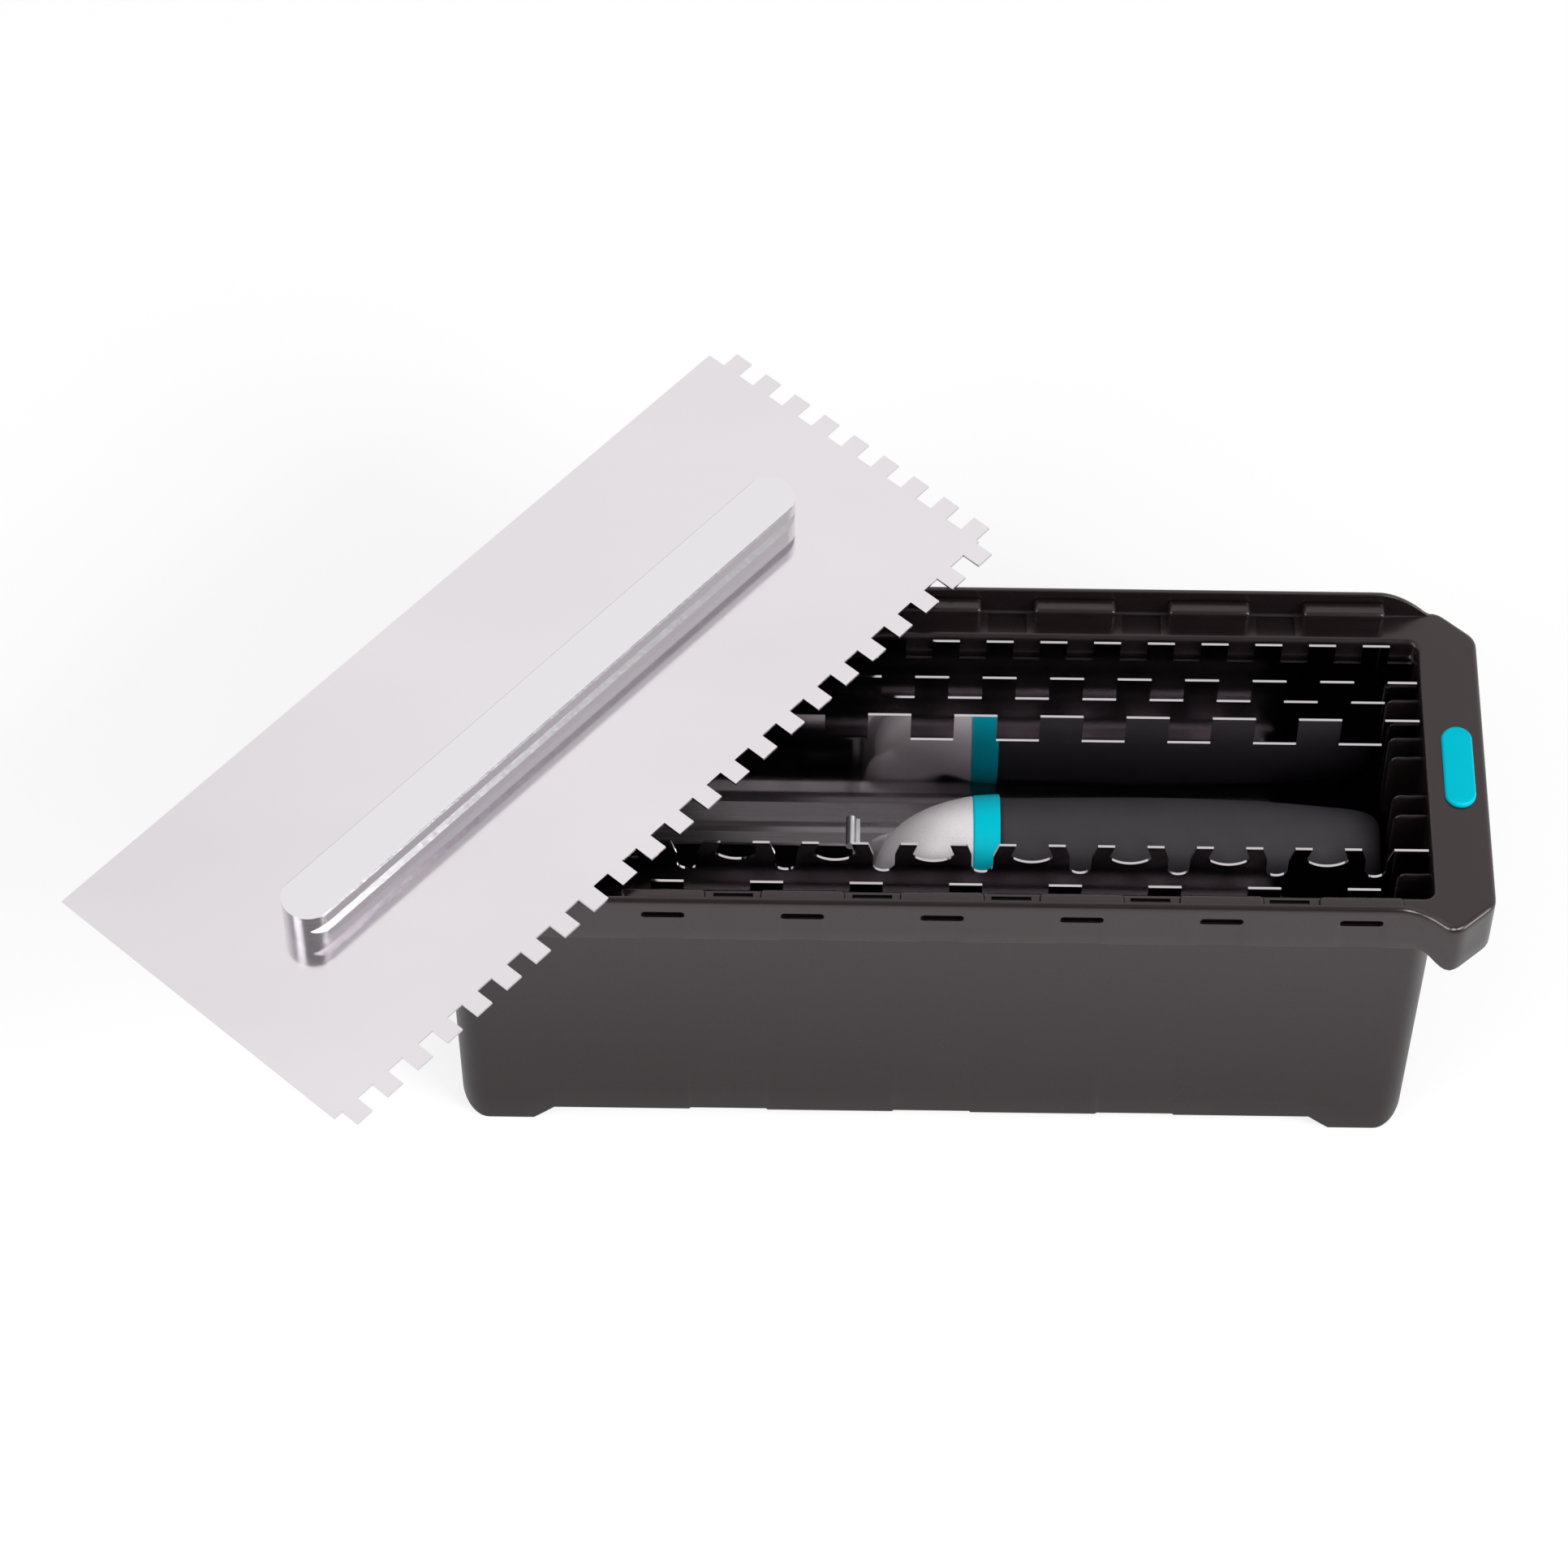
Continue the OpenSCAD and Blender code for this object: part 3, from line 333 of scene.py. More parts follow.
def build(name, grids, material, body, stands_for, soft_angle=38):
    """A finished piece: mesh, finish, the body that it rides on and the nodes it stands for."""
    mesh = mesh_of(name, grids)
    soften(mesh, soft_angle)
    piece = bpy.data.objects.new(name, mesh)
    scene.collection.objects.link(piece)
    mesh.materials.append(material)
    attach(piece, body)
    for node in stands_for:
        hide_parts(node)
    print(name, len(mesh.polygons), "faces")
    return piece


# %% [markdown]
# ## The storage box: its outlines
#
# Seen from above, the bay is a rectangle with tight corners, the outer wall has rounder ones,
# and the rim is a rectangle whose corners are cut off and softened. The rim's shell is one
# profile carried round the box. For that, every outline must have the same number of points,
# and a point must keep its place along the box on all of them. So each outline is made in
# three parts: half an end, a corner, and half a side whose points fall where features need them.

# %% Sizes of the box
RIM_X, RIM_Y, LIP_Z = (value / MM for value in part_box("storage_box")[1])
LIP_H, LIP_T = 9.8, 2.0
LEDGE_Z = LIP_Z - LIP_H
BAY_X, BAY_Y, BAY_R = 141.8, 46.0, 2.9
WALL = 2.5
TUB_X, TUB_Y, TUB_R = BAY_X + WALL, BAY_Y + WALL, 9.0
CUT_X, CUT_Y, CUT_R = 11.0, 9.6, 6.0
FOOT_H, FOOT_L = 6.0, 23.0
END_Y, SIDE_X = 36.0, 131.0
STEP = 0.05

# %% Sizes of what repeats along the rim
PAD_N, PAD_PITCH, PAD_L, PAD_W, PAD_H = 7, 40.0, 24.4, 5.3, 6.8
PAD_IN = RIM_Y - LIP_T - PAD_W - BAY_Y    # from the bay's edge to the pads
CATCH_HALF, CATCH_SLOPE, CATCH_DEEP = 7.1, 1.4, 0.8
SLOT_HALF, SLOT_TOP, SLOT_H, SLOT_DEEP, SLOT_R = 6.2, 5.2, 3.9, 5.6, 1.2
REST_HALF, REST_DEEP, REST_IN, REST_GAP = 5.7, 0.9, 1.9, 0.6
PANEL_PITCH, PANEL_HALF, PANEL_SOFT, PANEL_UP, PANEL_DEEP = 62.0, 11.5, 0.5, 33.0, 0.45

pad_x = (np.arange(PAD_N) - (PAD_N - 1) / 2) * PAD_PITCH
rest_x = (pad_x[1:] + pad_x[:-1]) / 2
panel_x = np.array([-1, 0, 1]) * PANEL_PITCH


def feature_places():
    """Places along a side, from SIDE_X down to 0, where the shell needs a point."""
    around = [(pad_x, [CATCH_HALF, CATCH_HALF - CATCH_SLOPE]),
              (rest_x, [REST_HALF + STEP, REST_HALF - STEP]),
              (panel_x, [PANEL_HALF, PANEL_HALF + PANEL_SOFT])]
    places = [centre + sign * off for centres, offs in around
              for centre in centres for off in offs for sign in (-1, 1)]
    places = np.concatenate([places, np.arange(0, SIDE_X, 3.2), [0, SIDE_X]])
    places = np.unique(np.round(places[(places >= 0) & (places <= SIDE_X)], 3))
    return places[::-1]


SIDE_PLACES = feature_places()
END_PLACES = np.linspace(0, END_Y, 12)
CORNER_STEPS = 30
print("points along half a side:", len(SIDE_PLACES))


# %% Outlines with matching points
def bow(centre, radius, first, last, steps=14):
    """Points on an arc, from angle first to angle last in degrees."""
    angle = np.radians(np.linspace(first, last, steps))
    return np.stack([centre[0] + radius * np.cos(angle), centre[1] + radius * np.sin(angle)], -1)


def quarter_to_loop(half_x, half_y, corner):
    """Closes an outline from its corner: a quarter of end, corner and side, mirrored twice."""
    corner = np.concatenate([[[half_x, END_Y]], corner, [[SIDE_X, half_y]]])
    run = np.concatenate([[0], np.cumsum(np.hypot(*np.diff(corner, axis=0).T))])
    even = np.linspace(0, run[-1], CORNER_STEPS)[1:-1]
    corner = np.stack([np.interp(even, run, corner[:, 0]), np.interp(even, run, corner[:, 1])], -1)
    end = np.stack([np.full(len(END_PLACES), half_x), END_PLACES], -1)
    side = np.stack([SIDE_PLACES, np.full(len(SIDE_PLACES), half_y)], -1)
    quarter = np.concatenate([end, corner, side])
    half = np.concatenate([quarter, (quarter * [-1, 1])[-2::-1]])
    return np.concatenate([half, (half * [1, -1])[-2:0:-1]])


def rounded(half_x, half_y, radius):
    """A rectangle with round corners."""
    return quarter_to_loop(half_x, half_y, bow((half_x - radius, half_y - radius), radius, 0, 90))


def cut_corners():
    """The rim's outline: straight cuts across the corners, softened at both ends."""
    facing = math.degrees(math.atan2(CUT_X, CUT_Y))
    end_soft = CUT_R * math.tan(math.radians(facing / 2))
    side_soft = CUT_R * math.tan(math.radians((90 - facing) / 2))
    corner = np.concatenate([bow((RIM_X - CUT_R, RIM_Y - CUT_Y - end_soft), CUT_R, 0, facing),
                             bow((RIM_X - CUT_X - side_soft, RIM_Y - CUT_R), CUT_R, facing, 90)])
    return quarter_to_loop(RIM_X, RIM_Y, corner)


def outward(loop):
    """Outward direction at each point of a closed outline that runs anticlockwise."""
    along = np.roll(loop, -1, 0) - np.roll(loop, 1, 0)
    along /= np.hypot(*along.T)[:, None]
    return np.stack([along[:, 1], -along[:, 0]], -1)


bay, tub, face = rounded(BAY_X, BAY_Y, BAY_R), rounded(TUB_X, TUB_Y, TUB_R), cut_corners()
bay_out, tub_out, face_out = outward(bay), outward(tub), outward(face)
along_x = face[:, 0]
print("points round the box:", len(face))

# %% [markdown]
# ## The storage box: its heights
#
# Along the sides the rim stands up as a lip, and near the corners the lip falls in a curve to
# the flat end ledge. The band that hangs from the rim is deeper at the ends than at the sides.
# Both are functions of the place along the box.

# %% How the lip and the band run
LIP_FLAT, LIP_RUN, LIP_CURVE = 129.7, 16.0, 1.9
BAND_SIDE, BAND_END = 19.5, 21.0
BAND_FROM, BAND_TO = 136.3, 147.8


def lip_height(x):
    """Height of the lip above the ledge: full along the side, then down by a power curve."""
    t = np.clip((np.abs(x) - LIP_FLAT) / LIP_RUN, 0, 1)
    return LIP_H * (1 - t ** LIP_CURVE)


def band_bottom(x):
    """Height of the band's lower edge: a smooth step near each end."""
    t = np.clip((np.abs(x) - BAND_FROM) / (BAND_TO - BAND_FROM), 0, 1)
    side, end = LIP_Z - BAND_SIDE, LEDGE_Z - BAND_END
    return side + (end - side) * (1 - np.cos(np.pi * t)) / 2


def underside(x):
    """Height of the box's bottom: on its feet near the ends, raised between them."""
    return np.clip(TUB_X - FOOT_L - np.abs(x), 0, FOOT_H)


def near(x, centres, half, slope):
    """1 within half of a centre, 0 past half + slope, and a straight ramp between."""
    distance = np.min(np.abs(x[:, None] - centres[None, :]), axis=1)
    return np.clip((half + slope - distance) / slope, 0, 1)


lip, low = lip_height(along_x), band_bottom(along_x)
share = lip / LIP_H
on_side = np.abs(face[:, 1]) > RIM_Y - 0.01

# %% [markdown]
# ## The storage box: one shell
#
# The shell starts at the middle of the bay's floor, climbs the inner wall, rolls over the bay's
# edge, crosses the ledge, climbs and crosses the lip, and runs down the band. It turns in under
# the band, meets the outer wall below the rim and ends at the middle of the underside. A round
# edge is a quarter turn: its points follow the cosine across and the sine up.

# %% The bay, the ledge and the lip
ROLL_R, LIP_IN, LIP_OUT, END_ROUND, BAND_ROUND, FOOT_FILLET = 1.7, 0.4, 1.5, 1.9, 0.9, 0.8
FLOOR_FILLET = 2.0


def row(plan, height):
    """One row of the shell: an outline with its heights."""
    return np.column_stack([plan, np.broadcast_to(height, len(plan))])


def turned(first, last, steps):
    """Pairs (1 - cosine, 1 - sine) over a stretch of angles in degrees."""
    angles = np.radians(np.linspace(first, last, steps))
    return zip(1 - np.cos(angles), 1 - np.sin(angles))


def inside_rows():
    """Middle of the floor, fillet, inner wall and the roll over the bay's edge."""
    floor_z = FOOT_H + WALL
    rows = [row((bay - bay_out * FLOOR_FILLET) * [1, 0], floor_z)]
    rows += [row(bay - bay_out * FLOOR_FILLET * across, floor_z + FLOOR_FILLET * up)
             for across, up in turned(90, 0, 5)]
    rows += [row(bay, height) for height in np.linspace(30, LEDGE_Z - ROLL_R, 5)]
    rows += [row(bay + bay_out * ROLL_R * across, LEDGE_Z - ROLL_R * up)
             for across, up in turned(15, 90, 6)]
    return rows


def rest_depth(place):
    """How far a rest pushes the ledge down, at a distance from the bay's edge."""
    inside = REST_IN < place < PAD_IN + PAD_W - REST_GAP
    return REST_DEEP * near(along_x, rest_x, REST_HALF - STEP, 2 * STEP) * on_side * inside


def ledge_rows():
    """Across the ledge and up the inner side of the lip to its rounded edge."""
    foot_in = (LIP_T * share + END_ROUND * (1 - share))[:, None]
    lip_foot = face - face_out * (foot_in + FOOT_FILLET * share[:, None])
    ledge_in = bay + bay_out * ROLL_R
    reach = RIM_Y - LIP_T - FOOT_FILLET - (BAY_Y + ROLL_R)
    rest_end = PAD_IN + PAD_W - REST_GAP
    rows = []
    for place in (REST_IN - STEP, REST_IN + STEP, PAD_IN, rest_end - STEP, rest_end + STEP):
        part = min((place - ROLL_R) / reach, 1)
        rows.append(row(ledge_in + (lip_foot - ledge_in) * part, LEDGE_Z - rest_depth(place)))
    for angle in np.radians(np.linspace(0, 90, 4)):
        rows.append(row(lip_foot + face_out * (FOOT_FILLET * share * np.sin(angle))[:, None],
                        LEDGE_Z + FOOT_FILLET * share * (1 - np.cos(angle))))
    small = np.minimum(LIP_IN, lip / 2)
    rows += [row(face - face_out * (foot_in - (small * across)[:, None]),
                 LEDGE_Z + lip - small * up) for across, up in turned(0, 90, 5)]
    return rows


# %% The band and the outer wall
LEAN = 0.9                       # how far the outer wall leans in on its way down
CATCH_LONGER = 0.6               # how much lower the band's edge hangs under a catch
SIDE_SOFT, END_SOFT = 1.6, 8.0   # radius of the bottom edge at a side and at an end
CATCH_TOP = SLOT_TOP + SLOT_H / 2
WALL_PARTS = (1.0, 0.8, 0.6, 0.4, 0.3, 0.2, 0.1, 0.0)


def catch_depth(below_top):
    """How far the recess of a catch pushes the band in, at a height below the lip's top."""
    across = near(along_x, pad_x, CATCH_HALF - CATCH_SLOPE, CATCH_SLOPE)
    return CATCH_DEEP * across * on_side * (below_top > CATCH_TOP)


def band_rows():
    """Over the outer edge of the rim, down the band and round its lower edge."""
    outer = LIP_OUT * share + END_ROUND * (1 - share)
    rows = [row(face - face_out * (outer * across)[:, None], LEDGE_Z + lip - outer * up)
            for across, up in turned(90, 0, 7)]
    top, bottom = LEDGE_Z + lip - outer, low + BAND_ROUND
    deep = BAND_SIDE - LIP_OUT - BAND_ROUND
    for below in (3.0, CATCH_TOP - STEP, CATCH_TOP + STEP, 10.0, 14.0, BAND_SIDE - BAND_ROUND):
        part = (below - LIP_OUT) / deep
        push = catch_depth(below)[:, None]
        rows.append(row(face - face_out * push, top + (bottom - top) * part))
    push = catch_depth(BAND_SIDE)
    longer = CATCH_LONGER * push / CATCH_DEEP
    rows += [row(face - face_out * (push + BAND_ROUND * across)[:, None],
                 low - longer + BAND_ROUND * up) for across, up in turned(30, 90, 3)]
    return rows


def outside_rows():
    """Under the band, down the outer wall with its low panels, and the underside."""
    base = underside(tub[:, 0])
    soft = SIDE_SOFT + (END_SOFT - SIDE_SOFT) * tub_out[:, 0] ** 2
    wide = near(along_x, panel_x, PANEL_HALF, PANEL_SOFT) * on_side
    rows = [row(face - face_out * LIP_T, low), row(face - face_out * LIP_T, LEDGE_Z - WALL),
            row(tub, LEDGE_Z - WALL)]
    for part in WALL_PARTS:
        height = base + soft + (LEDGE_Z - WALL - base - soft) * part
        sunk = PANEL_DEEP * np.clip(1 - (height - base) / PANEL_UP, 0, 1) * wide
        rows.append(row(tub - tub_out * (LEAN * (1 - part) + sunk)[:, None], height))
    rows += [row(tub - tub_out * (LEAN + sunk + soft * across)[:, None], base + soft * up)
             for across, up in turned(15, 90, 6)]
    rows[-1][:, 2] = underside(rows[-1][:, 0])
    return rows + [rows[-1] * [1, 0, 1]]


shell_rows = np.array(inside_rows() + ledge_rows() + band_rows() + outside_rows())
shell = build("box_shell", [(shell_rows, True)], plastic, "box", ["storage_box"])

# %% [markdown]
# ## Slots in the band
#
# Above each catch the band is cut through by a slot with round ends, which leads into the
# hollow pad behind it. A hole is easiest to cut with a Boolean modifier: one mesh holds all
# fourteen cutting blocks, and the shell and the pads keep only the result.

# %% Cutting the slots
SLOT_SIDES = 24


def slot_block(centre, side):
    """A short bar with round edges, lying across the band."""
    turn = np.radians((np.arange(SLOT_SIDES) + 0.5) * 360 / SLOT_SIDES)
    half_l, half_h = SLOT_HALF - SLOT_R, SLOT_H / 2 - SLOT_R
    outline = np.stack([SLOT_R * np.cos(turn) + half_l * np.sign(np.cos(turn)),
                        SLOT_R * np.sin(turn) + half_h * np.sign(np.sin(turn))], -1)
    layers, outside, inside = [], RIM_Y + 1, RIM_Y - SLOT_DEEP
    for size, y in ((0, outside), (1, outside), (1, inside), (0, inside)):
        flat = outline * size
        layers.append(np.column_stack([centre + flat[:, 0], np.full(SLOT_SIDES, side * y),
                                       LIP_Z - SLOT_TOP - SLOT_H / 2 + flat[:, 1]]))
    return np.array(layers), True


def pierce(piece, blocks, soft_angle=38):
    """Cuts blocks out of a piece and keeps the resulting mesh."""
    cutter = bpy.data.objects.new("cutter", mesh_of("cutter", blocks))
    scene.collection.objects.link(cutter)
    cut = piece.modifiers.new("slots", "BOOLEAN")
    cut.operation, cut.solver, cut.object = "DIFFERENCE", "EXACT", cutter
    graph = bpy.context.evaluated_depsgraph_get()
    mesh = bpy.data.meshes.new_from_object(piece.evaluated_get(graph))
    piece.modifiers.clear()
    piece.data = mesh
    soften(mesh, soft_angle)
    bpy.data.objects.remove(cutter)
    print(piece.name, "after cutting:", len(mesh.polygons), "faces")


slots = [slot_block(centre, side) for centre in pad_x for side in (-1, 1)]
pierce(shell, slots)

# %% [markdown]
# ## Pads and ribs: a sphere pulled apart
#
# A box with round edges is a sphere whose eight eighths are pulled apart. Each point of a unit
# sphere is moved by its own sign along each axis, and the gaps close themselves as flat faces.
# Two rows or columns share a place on the sphere wherever a flat face has to open between them.

# %% Rounded blocks
def rounded_block(low, high, radius, steps=5):
    """A closed block between two corners. radius may be one number or one for each axis."""
    low, high = np.asarray(low, float), np.asarray(high, float)
    radius = np.broadcast_to(np.asarray(radius, float), 3)
    quarter = np.linspace(0, 90, steps + 1)
    turn = np.radians(np.concatenate([quarter + 90 * k for k in range(4)]))
    turn_sign = np.repeat([[1, 1], [-1, 1], [-1, -1], [1, -1]], steps + 1, axis=0)
    rise = np.radians(np.concatenate([quarter - 90, quarter]))
    rise_sign = np.repeat([-1, 1], steps + 1)
    sphere = np.stack([np.cos(rise)[:, None] * np.cos(turn), np.cos(rise)[:, None] * np.sin(turn),
                       np.repeat(np.sin(rise)[:, None], len(turn), 1)], -1)
    sign = np.stack([np.broadcast_to(turn_sign[:, 0], sphere.shape[:2]),
                     np.broadcast_to(turn_sign[:, 1], sphere.shape[:2]),
                     np.repeat(rise_sign[:, None], len(turn), 1)], -1)
    block = (low + high) / 2 + sign * ((high - low) / 2 - radius) + sphere * radius
    middle = (low + high) / 2
    caps = [np.broadcast_to([middle[0], middle[1], z], (1, len(turn), 3))
            for z in (low[2], high[2])]
    return np.concatenate([caps[0], block, caps[1]]), True


# %% Pads on the rim
PAD_R, PAD_ROOT, PAD_IN_LIP = 1.4, 3.0, 0.3


def pad_at(centre, side):
    """A pad from the ledge up, joined to the lip behind it."""
    near_y, far_y = sorted((side * (BAY_Y + PAD_IN), side * (RIM_Y - LIP_T + PAD_IN_LIP)))
    return rounded_block((centre - PAD_L / 2, near_y, LEDGE_Z - PAD_ROOT),
                         (centre + PAD_L / 2, far_y, LEDGE_Z + PAD_H), PAD_R)


pads = build("rim_pads", [pad_at(centre, side) for centre in pad_x for side in (-1, 1)],
             plastic, "box", [])
pierce(pads, slots)

# %% Ribs in the bay
RIB_T, RIB_REACH, RIB_TOP = 1.8, 9.5, LEDGE_Z - 4.6
RIB_PAIR, RIB_GAP, RIB_IN_WALL = 20.9, 7.0, 2.0
RIB_ROUND = (2.4, RIB_T / 2, 2.8)


def rib_at(end, y):
    """An upright rib whose inner upper corner is rounded."""
    from_x, to_x = sorted((end * (BAY_X - RIB_REACH), end * (BAY_X + RIB_IN_WALL)))
    return rounded_block((from_x, y - RIB_T / 2, FOOT_H), (to_x, y + RIB_T / 2, RIB_TOP),
                         RIB_ROUND)


rib_y = [pair * RIB_PAIR + half * RIB_GAP / 2
         for pair in (-1.5, -0.5, 0.5, 1.5) for half in (-1, 1)]
build("bay_ribs", [rib_at(end, y) for end in (-1, 1) for y in rib_y], plastic, "box", [])

# %% [markdown]
# ## The inlays
#
# Each end ledge carries a soft teal pill that stands a little proud. Its outline is two half
# circles pulled apart, and its upper edge is a quarter turn, so that it catches a thin light.

# %% Two pills
INLAY_ROUND, INLAY_SEAT, INLAY_SIDES = 0.8, 0.9, 64


def pill(node):
    """A pill in its CAD node's box: an outline of two half circles, with a round upper edge."""
    low_corner, high_corner = (np.array(corner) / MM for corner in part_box(node))
    middle, top = (low_corner + high_corner) / 2, high_corner[2]
    radius, half = (high_corner[0] - low_corner[0]) / 2, (high_corner[1] - low_corner[1]) / 2
    turn = np.radians((np.arange(INLAY_SIDES) + 0.5) * 360 / INLAY_SIDES)

    def ring(inset, height):
        y = (radius - inset) * np.sin(turn) + (half - radius) * np.sign(np.sin(turn))
        return np.column_stack([middle[0] + (radius - inset) * np.cos(turn), middle[1] + y,
                                np.full(INLAY_SIDES, height)])

    rows = [ring(radius, LEDGE_Z - INLAY_SEAT), ring(0, LEDGE_Z - INLAY_SEAT),
            ring(0, top - INLAY_ROUND)]
    rows += [ring(INLAY_ROUND * across, top - INLAY_ROUND * up)
             for across, up in turned(15, 90, 6)]
    rows += [ring(radius, top)]
    return np.array(rows), True


for end in ("right", "left"):
    build("pill_" + end, [pill("inlay_" + end)], pill_teal, "box", ["inlay_" + end])

# %% [markdown]
# ## The neck of the handle
#
# The neck is an aluminium casting that leads from the round grip down to the clamping shoe. Its
# centre line is a Bezier curve, and its section is carried along that curve: round at the ring,
# squarer and narrower towards the foot, with two cheeks that leave a channel for the lever. A
# power below 1 on the cosine and the sine makes a circle squarer.

# %% Where the handle lies
ring_low, ring_high = (np.array(corner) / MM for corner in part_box("collar_ring"))
RING_X, GRIP_X = ring_low[0], ring_high[0]
HANDLE_Y, HANDLE_Z = (ring_low[1] + ring_high[1]) / 2, (ring_low[2] + ring_high[2]) / 2
RING_R = (ring_high[1] - ring_low[1]) / 2
SHOE_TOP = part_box("shoe")[1][2] / MM
NECK_REACH, NECK_PULL, LEG_PULL, RING_STEP = 20.3, 24.0, 38.0, 0.6
LEG_X, LEG_Y, NECK_TAPER, NECK_SQUEEZE, NECK_SQUARE = 7.5, 9.0, 1.5, 2.8, 0.4
CHEEK_FROM, CHEEK_FULL, CHEEK_FADE = 0.3, 0.4, 0.7
CHEEK_OUT, CHEEK_IN, CHEEK_SLOPE = 4.6, 0.6, 0.12
HOLLOW_FROM, HOLLOW_FULL, HOLLOW_DEEP = 0.42, 0.75, 6.5
FOOT_X = RING_X - NECK_REACH
print("handle's axis at y", round(HANDLE_Y, 2), "z", round(HANDLE_Z, 2))


# %% The casting's section along its curve
def neck_line(t):
    """The Bezier curve's points and unit directions: blends of four points by powers of t."""
    ends = np.array([[RING_X, HANDLE_Z], [RING_X - NECK_PULL, HANDLE_Z],
                     [FOOT_X, SHOE_TOP + LEG_PULL], [FOOT_X, SHOE_TOP]])
    s, t = (1 - t)[:, None], t[:, None]
    weights = (s ** 3, 3 * s ** 2 * t, 3 * s * t ** 2, t ** 3)
    place = sum(weight * end for weight, end in zip(weights, ends))
    legs = np.diff(ends, axis=0)
    along = s ** 2 * legs[0] + 2 * s * t * legs[1] + t ** 2 * legs[2]
    return place, along / np.linalg.norm(along, axis=1)[:, None]


def squared(value, power):
    """The size of value to a power, with its sign kept."""
    return np.sign(value) * np.abs(value) ** power


def smooth(value, start, end):
    """0 up to start, 1 from end on, and 3 t squared less 2 t cubed between."""
    t = np.clip((value - start) / (end - start), 0, 1)
    return t * t * (3 - 2 * t)


def neck_grid(rings=90, sides=160):
    """Section across the curve: cosine and sine to a power, with a cheek raised on each side."""
    t = np.concatenate([[0, 0], np.linspace(0.004, 1, rings)])
    turn = np.linspace(0, 2 * np.pi, sides, endpoint=False)
    place, along = neck_line(t)
    start = RING_R - RING_STEP
    deep_r = LEG_X + (start - LEG_X) * (1 - t) ** NECK_TAPER
    wide_r = LEG_Y + (start - LEG_Y) * (1 - t) ** NECK_SQUEEZE
    deep_r[:2], wide_r[:2] = (start - 3, start - 0.5), (start - 3, start - 0.5)
    power = (1 - NECK_SQUARE * t)[:, None]
    across, deep = squared(np.sin(turn), power), squared(np.cos(turn), power)
    raised = CHEEK_OUT * smooth(t, CHEEK_FROM, CHEEK_FULL) * smooth(-t, -1.0, -CHEEK_FADE)
    cheek = smooth(np.abs(across), CHEEK_IN, CHEEK_IN + CHEEK_SLOPE)
    hollow = HOLLOW_DEEP * smooth(t, HOLLOW_FROM, HOLLOW_FULL)
    outer = smooth(-deep, 0, 0.3)
    carved = hollow[:, None] * (1 - cheek) - raised[:, None] * cheek
    deep = deep_r[:, None] * deep + outer * carved
    across = wide_r[:, None] * across
    return np.stack([place[:, :1] - deep * along[:, 1:], HANDLE_Y + across,
                     place[:, 1:] + deep * along[:, :1]], -1), True


# %% The foot and the ears of the casting
lever_pin_low, lever_pin_high = (np.array(corner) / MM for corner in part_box("lever_pin"))
PIN_X, PIN_Z = (lever_pin_low[[0, 2]] + lever_pin_high[[0, 2]]) / 2
EAR_IN, EAR_T, EAR_R = 5.3, 2.4, 4.2
FOOT_PAD_L, FOOT_PAD_H = 40.0, 9.0


def ear(side):
    """A cheek plate round the lever's pin: a half disc on an upright strip."""
    turn = np.radians(np.linspace(0, 180, 25))
    disc = np.column_stack([PIN_X + EAR_R * np.cos(turn), PIN_Z + EAR_R * np.sin(turn)])
    pad_z = SHOE_TOP + FOOT_PAD_H
    outline = np.concatenate([disc, [[PIN_X - EAR_R, SHOE_TOP], [FOOT_X, SHOE_TOP],
                                     [FOOT_X, pad_z], [PIN_X + EAR_R + 1, pad_z]]])
    middle = np.array([PIN_X + EAR_R, SHOE_TOP + 2])
    layers = []
    for size, shift in ((0, 0), (0.97, 0), (1, 0.3), (1, EAR_T - 0.3), (0.97, EAR_T), (0, EAR_T)):
        flat = middle + (outline - middle) * size
        y = np.full(len(flat), HANDLE_Y + side * (EAR_IN + shift))
        layers.append(np.column_stack([flat[:, 0], y, flat[:, 1]]))
    return np.array(layers), True


foot_pad = rounded_block((FOOT_X - LEG_X, HANDLE_Y - LEG_Y, SHOE_TOP),
                         (FOOT_X - LEG_X + FOOT_PAD_L, HANDLE_Y + LEG_Y, SHOE_TOP + FOOT_PAD_H),
                         (1.6, 1.6, 1.2))
build("neck_casting", [neck_grid(), foot_pad, ear(-1), ear(1)], casting, "handle",
      ["gooseneck"], 50)

# %% [markdown]
# ## Ring and grip
#
# Both are turned shapes: a profile of radius against distance along the handle's axis, carried
# round that axis. The ring widens a little towards the grip. The grip is slightly barrelled and
# closes at its rear in a long round, like one moulded over the core in soft rubber.

# %% Turned pieces
def turned_piece(profile, sides=112):
    """Carries (distance, radius) pairs round the handle's axis. A radius of 0 closes an end."""
    turn = np.linspace(0, 2 * np.pi, sides, endpoint=False)
    along, radius = np.asarray(profile, float).T
    shape = (len(along), sides)
    return np.stack([np.broadcast_to(along[:, None], shape),
                     HANDLE_Y + radius[:, None] * np.sin(turn),
                     HANDLE_Z + radius[:, None] * np.cos(turn)], -1), True


def quarter_round(along, radius, reach, rise, first, last, steps=6):
    """Profile points on a quarter of an ellipse whose middle lies at (along, radius)."""
    angle = np.radians(np.linspace(first, last, steps))
    return [(along + reach * np.cos(a), radius + rise * np.sin(a)) for a in angle]


RING_CONE, RING_EDGE = 0.45, 0.45
ring_profile = ([(RING_X, 0)]
                + quarter_round(RING_X + RING_EDGE, RING_R - RING_CONE - RING_EDGE,
                                RING_EDGE, RING_EDGE, 180, 90)
                + quarter_round(GRIP_X - RING_EDGE, RING_R - RING_EDGE,
                                RING_EDGE, RING_EDGE, 90, 0)
                + [(GRIP_X, 0)])
build("ring", [turned_piece(ring_profile)], teal, "handle", ["collar_ring"])

